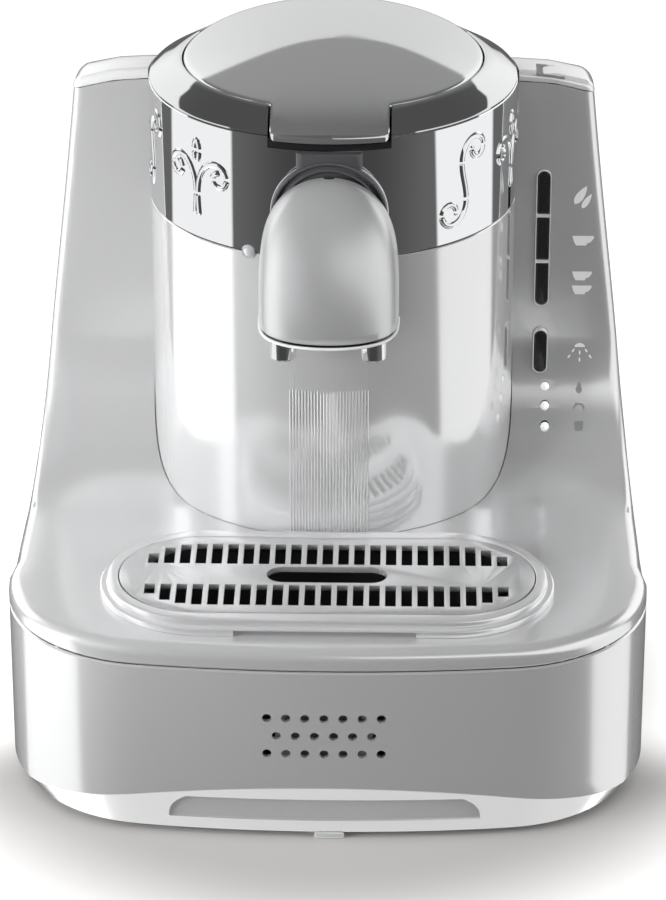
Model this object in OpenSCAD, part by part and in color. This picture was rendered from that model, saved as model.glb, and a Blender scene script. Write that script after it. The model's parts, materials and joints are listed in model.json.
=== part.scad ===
// Electric Turkish coffee maker: a base with a drip tank, a tower with controls and a water tank,
// and a round brewing column with a flip lid and a twin spout.
// Millimetres, +Z up, front towards -Y, origin under the middle of the overall box.

/* [Base] */
// Width of the panel beside the column, out to the base's widest side
panel_w = 55; // [52:0.5:58]
// Plan radius of the front corners
corner_r = 64; // [58:1:68]
// Plan radius of the gently bowed front
front_r = 600; // [500:10:800]
// Plan radius of the rear corners
back_r = 28; // [22:1:34]
// Narrowing of each side towards the back
side_taper = 6; // [3:0.5:8]
// Height of the seam between base and upper body
seam_z = 81; // [78:0.5:84]
// Height of the shelf around the drip tank
shelf_z = 90; // [88:0.5:93]
// Wall of the housing mouldings
wall = 2.5; // [2:0.1:3]
// Height of the rubber feet
foot_h = 3; // [2.5:0.5:4]
// How far the underside tucks in below the crease
chin_inset = 5; // [4:0.5:6]
// Height of the crease at the middle of the front
crease_front = 27; // [22:1:32]
// Height of the crease along the sides and back
crease_side = 10; // [9:1:14]

/* [Tower] */
// Height of the flat top of the tower
tower_z = 270; // [266:1:274]
// How far each side of the tower's top lies inside the base
tower_in = 22; // [19:0.5:26]
// Width gained by each side for each millimetre down
tower_flare = 0.109; // [0.08:0.001:0.115]
// Radius of the concave sweep from shelf to tower
sweep_r = 58; // [50:1:64]
// Distance of the tower face behind the column axis
face_back = 4; // [2:0.5:8]
// Depth of the flat top in front of the sloping roof
ridge_d = 20; // [14:1:26]
// Slope of the roof towards the back, degrees
roof_slope = 27; // [22:1:30]
// Height of the cap at its sides
cap_h = 8; // [7:0.5:9]

/* [Column] */
// Outer radius of the brewing column
col_r = 78; // [76:0.5:80]
// Gap between the column and the drip tank's rim
tray_gap = 2.5; // [2:0.5:5]
// Height of the chrome band
band_h = 52; // [46:1:56]
// Thickness of the column and band skins
skin_t = 2; // [1.6:0.1:2.4]
// Rise of the bevelled ring above the band
ring_rise = 8.5; // [7:0.5:10]
// Width of the bevelled ring round the flip lid
ring_w = 14.8; // [13:0.1:16]
// Rise of the lid's dome
lid_dome = 7.5; // [5:0.5:9]
// Width of the lid's front tab
tab_w = 48.8; // [44:0.2:56]
// Wall of the brewing housing
housing_t = 3; // [2.5:0.1:3.5]

/* [Brewing pot] */
// Space between the pot and the brewing housing
pot_room = 24.7; // [22.7:0.1:28]
// Depth of the pot
pot_depth = 43; // [38:1:46]
// Sheet thickness of the pot
pot_t = 1.2; // [1:0.1:1.5]
// Thickness of the heater plate
heater_t = 9; // [8:0.5:11]
// Bore of the outlet nipple
outlet_bore = 6.4; // [5.6:0.2:7]

/* [Spout] */
// Width of the spout at its foot
spout_w = 57.6; // [54:0.2:60]
// Depth of the spout's foot below the pot's outlet
spout_drop = 28.2; // [26:0.2:30]
// Height of the spout above its foot
spout_h = 60; // [57:0.5:63]
// Reach of the spout's foot in front of the column
spout_reach = 38; // [34:0.5:42]
// Height of the trim plate under the spout
plate_t = 3; // [2.5:0.5:4]
// Diameter of each nozzle
nozzle_d = 10.6; // [9:0.2:12]
// Bore of each nozzle
nozzle_bore = 6; // [5:0.2:7]
// Nozzle offset from the middle
nozzle_x = 18.5; // [16:0.5:20]
// Length of each nozzle below the plate
nozzle_len = 10; // [8:0.5:12]
// Radius of the round socket behind the spout
socket_r = 24; // [22:0.5:25]

/* [Drip tank] */
// Overall width of the drip tank's rim
rim_w = 188; // [180:1:192]
// Overall depth of the drip tank's rim
rim_d = 87; // [84:1:90]
// Distance of the drip tank's rim behind the front
tray_front = 12.5; // [11:0.5:15]
// Height of the rim above the shelf
rim_h = 6; // [5.5:0.5:7]
// Width of the grate
grate_w = 172; // [166:1:174]
// Depth of the grate
grate_d = 67; // [64:1:70]
// Thickness of the grate
grate_t = 2.5; // [2:0.1:3]
// Spacing of the grate slots
slot_pitch = 6.6; // [6:0.1:7.5]
// Width of a grate slot
slot_w = 4.2; // [3.6:0.1:4.6]
// Depth of the container below the shelf
tank_depth = 54; // [44:1:58]
// Width of the finger slot in the rim
finger_w = 74; // [60:1:80]

/* [Panel] */
// Distance of the buttons' middle from the column
button_out = 12.3; // [11:0.1:14]
// Width of a button
button_w = 5; // [4.6:0.1:5.6]
// Height of a button
button_h = 19.4; // [18:0.1:19.6]
// Spacing of the stacked buttons
button_pitch = 21.3; // [21.2:0.1:22]
// Height of the top button's middle
button_top_z = 215.2; // [212:0.2:218]
// Height of the rinse button's middle
rinse_z = 141.4; // [139:0.2:145]
// Width of the light frame around the buttons
frame_w = 0.8; // [0.7:0.1:1.2]
// Diameter of a status lens
lens_d = 3.6; // [3:0.1:4]
// Spacing of the status lenses
lens_pitch = 7.5; // [6:0.1:8.5]
// Clearance round a button
key_gap = 0.25; // [0.2:0.05:0.35]
// Spacing of the speaker holes
hole_pitch = 7.75; // [7:0.05:8.5]
// Diameter of a speaker hole
hole_d = 3.8; // [3.2:0.1:4.4]

/* [Water tank] */
// Width of the water tank
water_w = 200; // [180:1:204]
// Depth of the water tank
water_d = 31.5; // [28:0.5:36]
// Height that the water tank stays under the roof at its back
water_headroom = 15.9; // [14:0.1:40]
// Wall of the tanks
tank_t = 2; // [1.6:0.1:2.4]

/* [Travel] */
// Travel of a button
button_travel = 0.8; // [0.6:0.1:1]
// Opening angle of the flip lid
lid_angle = 95; // [80:1:98]

/* [Fits] */
// Clearance between sliding or lifting pieces
slide_gap = 0.5; // [0.4:0.05:0.6]
// Radial clearance of a hinge pin
pin_gap = 0.05; // [0.03:0.01:0.09]
// Clearance between nested round skins
sleeve_gap = 0.3; // [0.3:0.05:0.4]
// Open seam between mouldings
seam_gap = 0.5; // [0.4:0.1:0.7]

/* [Hidden] */
$fn = 96;
EPS = 0.01;
BIG = 400;
gland_out = 2;
bulkhead_t = 2;
bulkhead_gap = 2;
tank_gap = 1;
hw = col_r + panel_w;
base_w = 2 * hw;
tower_top_w = base_w - 2 * tower_in;
button_x = col_r + button_out;
col_back = tray_front + rim_d + tray_gap + col_r;
base_d = col_back + col_r + bulkhead_gap + bulkhead_t + tank_gap + water_d + tank_gap + wall;
front_y = -(base_d + gland_out) / 2;
back_y = front_y + base_d;
col_y = front_y + col_back;
face_y = col_y + face_back;
col_front = col_y - col_r;
col_rear = col_y + col_r;
corner_y = front_y + front_r - sqrt(pow(front_r - corner_r, 2) - pow(hw - corner_r, 2));
front_turn = asin((hw - corner_r) / (front_r - corner_r));
pan_t = 3;
pan_z = foot_h;
roof_run = back_y - face_y - ridge_d;
cap_top_r = 16;
cap_back_r = 10;
cap_t = 2.2;
cap_edge = 2;
cover_gap = 3.5;
roof_end = [back_y - cap_back_r, roof_at(back_y - cap_back_r) - cap_back_r / cos(roof_slope)];
band_top = tower_z;
band_z = band_top - band_h;
ring_top = band_top + ring_rise;
lid_r = col_r - ring_w;
ring_bore = lid_r + 0.4;
rim_z = band_top - 4;
housing_r = col_r - skin_t - sleeve_gap;
housing_in = housing_r - housing_t;
pot_r = housing_in - pot_room;
gasket_t = 2.6;
flange_z = rim_z - gasket_t - pot_t;
pot_z = flange_z - pot_depth;
ledge_t = 3;
outlet_z = pot_z + 5;
spout_z = outlet_z - spout_drop;
spout_top = spout_z + spout_h;
outlet_r = outlet_bore / 2 + 1.6;
valve_back = col_y - pot_r - pot_t - 4;
valve_front = col_y - housing_in + 1.5;
inlet_z = pot_z + 22;
riser_x = -(pot_r + pot_t + 10);
riser_y = col_y;
nipple_end = col_front - 10;
deck_z = shelf_z - wall;
tray_y = front_y + tray_front + rim_d / 2;
well_w = grate_w - 14;
well_d = grate_d - 6;
rim_top = shelf_z + rim_h;
bulkhead_y = col_rear + bulkhead_gap;
water_front = bulkhead_y + bulkhead_t + tank_gap;
water_back = water_front + water_d;
water_z = shelf_z;
water_top = roof_at(water_back) - water_headroom;
water_r = 12;
valve_x = 60;
water_mid = (water_front + water_back) / 2;
cover_pin_r = 1.2;
cover_ear_x = 74;
cover_ear_w = 6;
cover_eye_r = 2.4;
cover_eye_w = 5;
ear_gap = 0.6;
cover_axis_y = back_y - 2.4;
cover_axis_z = roof_at(back_y) - cap_h + 2.6;
hinge_y = col_y + lid_r + 3.6;
hinge_z = ring_top - 2;
hinge_pin_r = 1.5;
hinge_eye_r = 2.8;
hinge_w = 26;
notch_w = tab_w + 1.6;
tab_drop = 4.7;
switch_h = 3;
board_t = 1.6;
button_back = face_y + 5.5;
board_y = button_back + button_travel + 0.1 + switch_h;
lens_x = button_x + 2.4;
lens_z = [for (i = [0:2]) rinse_z - button_h / 2 - 5.9 - i * lens_pitch];
boss_r = 4.5;
screw_r = 1.5;
pump_y = water_front - 8;
pump_z = 42;
pump_r = 17;
pump_len = 62;
speaker_z = 51;
speaker_r = 20;
speaker_t = 13;

nozzle_y = col_front - spout_reach * 0.55;
spout_steps = 9;
spout_levels = [for (i = [0:spout_steps])
  spout_z + (spout_top - spout_z) * (1 - pow(1 - i / spout_steps, 1.7)) * 0.995];
steam_turn = -115.3;
gland_x = 44;
gland_z = 34;
gland_r = 6;
hose_r = 3.4;
hose_bore = 2.2;
button_z = [for (i = [0:2]) button_top_z - i * button_pitch];
post_in = chin_inset + wall + slide_gap + 5;
posts = [for (y = [corner_y + 26, col_y - 20, back_y - back_r - 14]) [side_half(y) - post_in, y]];

// ---------- shared outlines ----------

function arc(c, r, a0, a1, n) =
  [for (i = [0:n]) let (a = a0 + (a1 - a0) * i / n) [c.x + r * cos(a), c.y + r * sin(a)]];

// Right half of the plan outline, from the front middle round to the back middle.
function half_plan(inset) =
  let (corner = arc([hw - corner_r, corner_y], corner_r - inset, -90 + front_turn, 0, 9)) concat(
    arc([0, front_y + front_r], front_r - inset, -90, -90 + front_turn, 6),
    [for (i = [1:len(corner) - 1]) corner[i]],
    arc([hw - side_taper - back_r, back_y - back_r], back_r - inset, 0, 90, 6)
  );

function plan(inset) = let (right = half_plan(inset), n = len(right)) concat(
  right, [for (i = [n - 1:-1:1]) [-right[i].x, right[i].y]]
);

// Half width of the base at depth y, behind the front corners.
function side_half(y) = hw - side_taper * (y - corner_y) / (back_y - back_r - corner_y);

// Height of the roof's outer face at depth y.
function roof_at(y) = tower_z - max(0, y - face_y - ridge_d) * tan(roof_slope);

// Side view of the upper body, moved inwards by t, down to height z0.
function side_view(t, z0) = concat(
  [[front_y - 5, z0], [front_y - 5, shelf_z - t]],
  arc([face_y - sweep_r, shelf_z + sweep_r], sweep_r + t, -90, 0, 10),
  [[face_y + t, tower_z - cap_edge - t], [face_y + cap_edge + t, tower_z - t]],
  [[face_y + ridge_d - t * tan(roof_slope / 2), tower_z - t]],
  arc(roof_end, cap_back_r - t, 90 - roof_slope, 0, 4),
  [[back_y - t, z0]]
);

// Half width of the tower at height z.
function tower_half(z) = tower_top_w / 2 + (tower_z - cap_h - z) * tower_flare;

// Front view of the upper body, moved inwards by t, down to height z0.
function front_half(t, z0) = concat(
  [[hw + 5, z0], [hw + 5, shelf_z], [tower_half(shelf_z) - t, shelf_z]],
  arc([tower_half(tower_z - cap_top_r) - cap_top_r, tower_z - cap_top_r], cap_top_r - t, 0, 90, 8)
);

function front_view(t, z0) = let (right = front_half(t, z0), n = len(right)) concat(
  right, [for (i = [n - 1:-1:0]) [-right[i].x, right[i].y]]
);

// Under side of the cap in side view: everything above this line belongs to the cap.
function cap_zone(gap) = [
  [face_y - 5, tower_z - 3 + gap],
  [face_y + ridge_d, roof_at(face_y + ridge_d) - cap_h + gap],
  [back_y + 5, roof_at(back_y + 5) - cap_h + gap],
  [back_y + 5, BIG], [face_y - 5, BIG]
];

// Height of the crease round the base at plan position x.
function crease_z(p) = p.y > corner_y ? crease_side
  : crease_side + (crease_front - crease_side) * max(0, 1 - pow(p.x / (hw - 8), 2));

function ring_at(points, z) = [for (p = points) [p.x, p.y, z]];

// ---------- shared shapes ----------

// Solid through a list of rings, each a list of points that runs anticlockwise seen from above.
module loft(rings) {
  n = len(rings[0]);
  m = len(rings);
  polyhedron(
    points = [for (r = rings) each r],
    faces = concat(
      [[for (i = [0:n - 1]) i]],
      [for (k = [0:m - 2]) for (i = [0:n - 1])
        [k * n + i, (k + 1) * n + i, (k + 1) * n + (i + 1) % n, k * n + (i + 1) % n]],
      [[for (i = [n - 1:-1:0]) (m - 1) * n + i]]
    ),
    convexity = 6
  );
}

// Extrudes a side view, drawn as [y, z], across the width w.
module across(points, w) {
  translate([-w / 2, 0, 0]) rotate([90, 0, 90]) linear_extrude(w, convexity = 6) polygon(points);
}

// Extrudes a front view, drawn as [x, z], over the depth from y0 to y1.
module along(points, y0, y1) {
  translate([0, y1, 0]) rotate([90, 0, 0]) linear_extrude(y1 - y0, convexity = 6) polygon(points);
}

// Upright plate with round ends, w wide and d deep.
module stadium(w, d, h) {
  translate([-(w - d) / 2, -d / 2, 0]) cube([w - d, d, h]);
  for (s = [-1, 1]) translate([s * (w - d) / 2, 0, 0]) cylinder(d = d, h = h);
}

// Upright block with rounded corners.
module rounded_block(w, d, h, r) {
  translate([-w / 2 + r, -d / 2, 0]) cube([w - 2 * r, d, h]);
  translate([-w / 2, -d / 2 + r, 0]) cube([w, d - 2 * r, h]);
  for (x = [-1, 1]) for (y = [-1, 1])
    translate([x * (w / 2 - r), y * (d / 2 - r), 0]) cylinder(r = r, h = h);
}

module tube(r_out, r_in, h) {
  difference() {
    cylinder(r = r_out, h = h);
    translate([0, 0, -1]) cylinder(r = r_in, h = h + 2);
  }
}

// Round bar through a list of points, with ball corners.
module bar(points, r, over = 0) {
  last = len(points) - 1;
  for (i = [0:last - 1]) {
    d = points[i + 1] - points[i];
    u = d / norm(d);
    a = i == 0 ? over : 0;
    b = i == last - 1 ? over : 0;
    translate(points[i] - u * a) rotate([0, acos(u.z), atan2(u.y, u.x)])
      cylinder(r = r, h = norm(d) + a + b, $fn = 32);
    if (i > 0) translate(points[i]) sphere(r = r, $fn = 32);
  }
}

module hose(points, r_out, r_in) {
  difference() {
    bar(points, r_out);
    bar(points, r_in, 1);
  }
}

module on_axis(z) {
  translate([0, col_y, z]) children();
}

module both_sides() {
  children();
  mirror([1, 0, 0]) children();
}

// ---------- base ----------

module base_shell() {
  top = seam_z - seam_gap;
  outer = plan(0);
  inner = plan(wall);
  low_in = plan(chin_inset + wall);
  color("silver") difference() {
    union() {
      difference() {
        loft([
          ring_at(plan(chin_inset), pan_z),
          [for (p = outer) [p.x, p.y, crease_z(p)]],
          ring_at(outer, top)
        ]);
        loft([
          ring_at(low_in, pan_z - 1),
          ring_at(low_in, pan_z),
          [for (i = [0:len(outer) - 1]) [inner[i].x, inner[i].y, crease_z(outer[i])]],
          ring_at(inner, top + 1)
        ]);
      }
      // screw posts beside the wall
      both_sides() for (b = posts) {
        translate([b.x, b.y, pan_z + pan_t]) cylinder(r = boss_r, h = seam_z - pan_z - pan_t);
        translate([b.x, b.y - 1, crease_side + 4]) cube([post_in - wall / 2, 2, 50]);
      }
      // thick frame round the service opening
      translate([-72, back_y - wall - 3, 12]) cube([144, 4, 62]);
    }
    both_sides() for (b = posts)
      translate([b.x, b.y, pan_z]) cylinder(r = screw_r, h = 20, $fn = 24);
    // service opening and its rebate
    translate([-62, back_y - 20, 17]) cube([124, 40, 52]);
    translate([-69, back_y - 1.5, 14]) cube([138, 10, 58]);
    cover_screw_places(back_y - 6) cylinder(r = screw_r, h = 12, $fn = 24);
    speaker_holes();
    // shallow grip in the tucked-in front
    grip_recess();
  }
}

module speaker_holes() {
  for (row = [0:2]) {
    count = row == 1 ? 6 : 7;
    for (i = [0:count - 1])
      translate([(i - (count - 1) / 2) * hole_pitch, front_y - 5, speaker_z + (1 - row) * 8.2])
        rotate([-90, 0, 0]) cylinder(d = hole_d, h = 12, $fn = 24);
  }
}

module grip_recess() {
  w = 128;
  depth = 1.2;
  z0 = pan_z + 6;
  z1 = crease_front - 6.5;
  outer = plan(depth);
  difference() {
    along([[-w / 2, z0], [w / 2, z0], [w / 2 - 4, z1 - 3], [w / 2 - 8, z1], [-w / 2 + 8, z1],
      [-w / 2 + 4, z1 - 3]], front_y - 10, front_y + 40);
    loft([
      ring_at(plan(chin_inset + depth), pan_z),
      [for (p = outer) [p.x, p.y, crease_z(p)]],
      ring_at(outer, seam_z)
    ]);
  }
}

module cover_screw_places(y) {
  for (x = [-1, 1]) for (z = [18, 68]) translate([x * 65.5, y, z]) rotate([-90, 0, 0]) children();
}

module base_pan() {
  color("dimgray") difference() {
    translate([0, 0, pan_z]) linear_extrude(pan_t) polygon(plan(chin_inset + wall + slide_gap));
    both_sides() for (b = posts)
      translate([b.x, b.y, pan_z - 1]) cylinder(r = screw_r + 0.2, h = pan_t + 2, $fn = 24);
    // cooling slots
    for (i = [-3:3]) translate([i * 9 - 2, pump_y - 30, pan_z - 1]) cube([4, 34, pan_t + 2]);
  }
}

module rubber_feet() {
  color("black") both_sides() for (y = [corner_y - 10, back_y - 40])
    translate([hw - 40, y, 0]) cylinder(r = 8, h = foot_h);
}

module front_foot() {
  color("gainsboro") translate([-4, front_y + chin_inset - 0.4, 0.4]) cube([12, 10, foot_h - 0.4]);
}

module rear_cover() {
  color("dimgray") difference() {
    translate([-69 + seam_gap, back_y - 1.5, 14 + seam_gap])
      cube([138 - 2 * seam_gap, 1.5, 58 - 2 * seam_gap]);
    for (i = [0:8]) translate([-52 + i * 8, back_y - 5, 28]) cube([3, 10, 30]);
    translate([gland_x, back_y - 5, gland_z]) rotate([-90, 0, 0]) cylinder(r = gland_r, h = 10);
    cover_screw_places(back_y - 6) cylinder(r = screw_r + 0.2, h = 12, $fn = 24);
  }
}

module cable_gland() {
  color("black") translate([gland_x, 0, gland_z]) rotate([-90, 0, 0]) difference() {
    union() {
      translate([0, 0, back_y - 12]) cylinder(r = gland_r - 0.1, h = 12);
      translate([0, 0, back_y]) cylinder(r = gland_r + 2.5, h = gland_out);
      translate([0, 0, back_y - 5.5]) cylinder(r = gland_r + 2.5, h = 4);
    }
    translate([0, 0, back_y - 13]) cylinder(r = 3.4, h = 20);
  }
}

module base_screws() {
  color("gray") both_sides() for (b = posts) translate([b.x, b.y, pan_z - 1.4]) {
    cylinder(r = 3, h = 1.4, $fn = 24);
    cylinder(r = screw_r - 0.1, h = 14, $fn = 24);
  }
}

module cover_screws() {
  color("gray") cover_screw_places(back_y - 5) cylinder(r = screw_r - 0.1, h = 5, $fn = 24);
}

// ---------- upper body ----------

module body_solid(t, z0) {
  intersection() {
    translate([0, 0, z0]) linear_extrude(BIG, convexity = 6) polygon(plan(t));
    across(side_view(t, z0), base_w + 20);
    along(front_view(t, z0), front_y - 10, back_y + 10);
  }
}

module column_cut(extra, z0) {
  on_axis(z0) cylinder(r = col_r + extra, h = BIG, $fn = 192);
}

module body_shell() {
  color("silver") difference() {
    union() {
      difference() {
        body_solid(0, seam_z);
        body_solid(wall, seam_z - 1);
      }
      translate([0, 0, deck_z]) linear_extrude(wall) polygon(plan(wall / 2));
      // posts that meet the base's screw posts
      both_sides() for (b = posts) translate([b.x, b.y, seam_z]) cylinder(r = boss_r, h = deck_z - seam_z);
    }
    across(cap_zone(-seam_gap), base_w + 20);
    translate([-BIG / 2, back_y - wall - 2.5, cover_axis_z - 4]) cube([BIG, 10, 20]);
    column_cut(sleeve_gap, shelf_z);
    translate([0, tray_y, deck_z - 10]) stadium(well_w + 2, well_d + 2, 30);
    // ways for the water, the steam hose and the wiring
    translate([valve_x, water_mid, deck_z - 5]) cylinder(r = 8, h = 20);
    translate([riser_x, riser_y, deck_z - 5]) cylinder(r = 6, h = 20);
    translate([button_x - 8, face_y + 20, deck_z - 5]) cube([20, 12, 20]);
    on_axis(deck_z - 5) cylinder(r = 30, h = 20);
    panel_cuts(0.3);
  }
}

// Slots of the button frames and seats of the status lenses.
module panel_cuts(gap) {
  translate([button_x, 0, 0]) {
    frame_block(button_z[2] - button_h / 2, button_z[0] + button_h / 2, gap, face_y - 5, 20);
    frame_block(rinse_z - button_h / 2, rinse_z + button_h / 2, gap, face_y - 10, 25);
  }
  lens_places() cylinder(d = lens_d + 2 * gap, h = 30, $fn = 32);
}

module lens_places() {
  for (z = lens_z) translate([lens_x, face_y - 22, z]) rotate([-90, 0, 0]) children();
}

// Upright block with round ends that reaches from z0 to z1, grown by gap all round.
module frame_block(z0, z1, gap, y, depth) {
  w = button_w + 2 * frame_w + 2 * gap;
  translate([0, y, (z0 + z1) / 2]) rotate([-90, 90, 0])
    stadium(z1 - z0 + 2 * frame_w + 2 * gap, w, depth);
}

module frame_ring(z0, z1, y, depth) {
  difference() {
    frame_block(z0, z1, 0, y, depth);
    translate([0, y - 1, (z0 + z1) / 2]) rotate([-90, 90, 0])
      stadium(z1 - z0 + 2 * key_gap, button_w + 2 * key_gap, depth + 2);
  }
}

module button_frames() {
  low = button_z[2] - button_h / 2;
  rinse_top = rinse_z + button_h / 2;
  bar_h = button_pitch - button_h - 2 * key_gap;
  color("gainsboro") translate([button_x, 0, 0]) {
    frame_ring(low, button_z[0] + button_h / 2, face_y - 0.8, 5);
    frame_ring(rinse_z - button_h / 2, rinse_top, face_y - 2.6, 6.8);
    // bars between the stacked keys
    for (i = [0:1])
      translate([-button_w / 2 - key_gap - 0.1, face_y - 0.8, button_z[i] - button_pitch / 2 - bar_h / 2])
        cube([button_w + 2 * key_gap + 0.2, 5, bar_h]);
    // blocks that stand between the board and each frame
    for (z = [low - frame_w - 3.4, rinse_top + frame_w - 0.6])
      translate([-button_w / 2, face_y + wall + 0.2, z]) cube([button_w, board_y - face_y - wall - 0.2, 4]);
  }
}

// A key between two heights; round ends where asked.
module key(z0, z1, round_top, round_low, y) {
  r = button_w / 2;
  depth = button_back - y;
  translate([button_x, y, 0]) {
    translate([-r, 0, z0 + (round_low ? r : 0)])
      cube([button_w, depth, z1 - z0 - (round_low ? r : 0) - (round_top ? r : 0)]);
    if (round_low) translate([0, 0, z0 + r]) rotate([-90, 0, 0]) cylinder(r = r, h = depth);
    if (round_top) translate([0, 0, z1 - r]) rotate([-90, 0, 0]) cylinder(r = r, h = depth);
  }
}

module stacked_key(i) {
  color([0.13, 0.13, 0.14]) key(button_z[i] - button_h / 2, button_z[i] + button_h / 2, i == 0, i == 2,
    face_y - 0.5);
}

module power_button() {
  stacked_key(0);
}

module one_cup_button() {
  stacked_key(1);
}

module two_cup_button() {
  stacked_key(2);
}

module rinse_button() {
  color([0.13, 0.13, 0.14]) key(rinse_z - button_h / 2, rinse_z + button_h / 2, true, true, face_y - 2.3);
}

module tact_switches() {
  color("black") for (z = concat(button_z, [rinse_z]))
    translate([button_x - 3, board_y - switch_h, z - 3]) cube([6, switch_h, 6]);
}

module button_board() {
  color("darkgreen") difference() {
    translate([button_x - 9, board_y, lens_z[2] - 5])
      cube([18, board_t, button_top_z + button_h / 2 + 8 - lens_z[2] + 5]);
    board_screw_places() cylinder(r = 1.4, h = 10, $fn = 24);
  }
}

module board_screw_places() {
  for (z = [lens_z[2] + 12, button_top_z + button_h / 2 + 4]) translate([button_x - 6, board_y - 3, z])
    rotate([-90, 0, 0]) children();
}

module board_screws() {
  color("gray") board_screw_places() {
    translate([0, 0, 3 + board_t]) cylinder(r = 2.4, h = 1.4, $fn = 24);
    translate([0, 0, 0]) cylinder(r = 1.2, h = 3 + board_t, $fn = 24);
  }
}

// Clear rods that carry the light from the board to the face of the sweep.
module status_lenses() {
  color("white") for (z = lens_z) {
    y0 = face_y - sweep_r + sqrt(pow(sweep_r, 2) - pow(max(0, shelf_z + sweep_r - z), 2)) - 0.4;
    translate([lens_x, y0, z]) rotate([-90, 0, 0]) cylinder(d = lens_d, h = board_y - y0, $fn = 32);
  }
}

// Partition in front of the water tank and roof over the electronics.
module inner_bulkhead() {
  drop = cap_h + 2;
  y0 = face_y + wall + slide_gap;
  ridge_y = face_y + ridge_d;
  top = roof_at(bulkhead_y) - drop;
  low_half = side_half(bulkhead_y) - wall - sleeve_gap;
  top_half = tower_half(tower_z - drop) - wall - sleeve_gap - 1;
  color("gray") difference() {
    union() {
      along([[-low_half, shelf_z], [low_half, shelf_z], [top_half, top], [-top_half, top]], bulkhead_y,
        bulkhead_y + bulkhead_t);
      across([[y0, tower_z - drop], [ridge_y, tower_z - drop], [bulkhead_y + bulkhead_t, top],
        [bulkhead_y + bulkhead_t, top - bulkhead_t], [ridge_y, tower_z - drop - bulkhead_t],
        [y0, tower_z - drop - bulkhead_t]], 2 * top_half);
    }
    column_cut(sleeve_gap, shelf_z - 1);
  }
}

// ---------- column ----------

module column_shell() {
  color("silver") difference() {
    on_axis(shelf_z) tube(col_r, col_r - skin_t, band_z - shelf_z - 0.4, $fn = 192);
    steam_lens_hole();
    bore_to_front(outlet_z, 9);
  }
}

module chrome_band() {
  color([0.8, 0.8, 0.83]) difference() {
    on_axis(band_z) tube(col_r, col_r - skin_t, band_h, $fn = 192);
    steam_lens_hole();
    bore_to_front(outlet_z, 9);
    // low edge under the lid's tab
    translate([-notch_w / 2, col_front - 5, band_top - tab_drop]) cube([notch_w, 30, 30]);
  }
}

// Round hole through the front of the column at height z.
module bore_to_front(z, r) {
  translate([0, col_front - 5, z]) rotate([-90, 0, 0]) cylinder(r = r, h = 14, $fn = 48);
}

module at_steam_lens() {
  on_axis(band_z) rotate([0, 90, steam_turn]) children();
}

module steam_lens_hole() {
  at_steam_lens() translate([0, 0, col_r - 8]) cylinder(r = 3.2, h = 20, $fn = 32);
}

module steam_lens() {
  color("white") at_steam_lens() translate([0, 0, housing_r + sleeve_gap])
    cylinder(r = 3, h = col_r + 0.9 - housing_r - sleeve_gap, $fn = 32);
}

module brew_housing() {
  color("dimgray") difference() {
    union() {
      on_axis(shelf_z) tube(housing_r, housing_in, rim_z - shelf_z, $fn = 192);
      on_axis(flange_z - ledge_t) tube(housing_in + 1, pot_r + pot_t + 2, ledge_t);
      on_axis(shelf_z) tube(housing_in + 1, 34, 3);
    }
    bore_to_front(outlet_z, outlet_r + 0.3);
    // ways for the steam hose and the wiring
    translate([60, col_y - 10, pot_z - 20]) cube([30, 20, 10]);
    translate([riser_x, riser_y, shelf_z - 1]) cylinder(r = 6, h = 10);
  }
}

module top_ring() {
  color("lightgray") difference() {
    on_axis(0) rotate_extrude($fn = 192) polygon([
      [ring_bore, rim_z], [housing_r, rim_z], [housing_r, band_top], [col_r - 0.2, band_top],
      [col_r - 0.4, band_top + 1.2], [(col_r + ring_bore) / 2 + 1, ring_top - 2.6],
      [ring_bore + 1.2, ring_top], [ring_bore, ring_top - 1]
    ]);
    // seat of the lid's tab
    translate([-notch_w / 2, col_front - 5, rim_z + 1.5]) cube([notch_w, 30, 30]);
    // room for the hinge eye
    translate([-hinge_w / 2 - 0.4, hinge_y - hinge_eye_r - 2, rim_z + 2]) cube([hinge_w + 0.8, 12, 30]);
    translate([0, hinge_y, hinge_z]) rotate([0, 90, 0]) cylinder(r = hinge_pin_r, h = 60, center = true);
  }
  color("lightgray") difference() {
    for (s = [-1, 1]) translate([s * (hinge_w / 2 + 3.4), hinge_y, 0]) {
      translate([-3, -hinge_eye_r, rim_z + 1]) cube([6, 2 * hinge_eye_r, hinge_z - rim_z - 1]);
      translate([-3, 0, hinge_z]) rotate([0, 90, 0]) cylinder(r = hinge_eye_r, h = 6);
    }
    translate([0, hinge_y, hinge_z]) rotate([0, 90, 0]) cylinder(r = hinge_pin_r, h = 60, center = true);
  }
}

// Dark floor and lip of the notch under the lid's tab.
module ring_liner() {
  floor_z = rim_z + 1.5;
  color("black") intersection() {
    translate([-notch_w / 2 + 0.2, col_front - 5, 0]) cube([notch_w - 0.4, 40, BIG]);
    on_axis(0) difference() {
      translate([0, 0, band_top - tab_drop])
        cylinder(r = col_r - 0.4, h = floor_z + 0.8 - band_top + tab_drop);
      cylinder(r = ring_bore, h = BIG);
      cylinder(r = housing_r + 0.1, h = floor_z);
    }
  }
}

module lid_hinge_pin() {
  color("gray") translate([-hinge_w / 2 - 6.4, hinge_y, hinge_z]) rotate([0, 90, 0])
    cylinder(r = hinge_pin_r - EPS, h = hinge_w + 12.8, $fn = 32);
}

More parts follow.
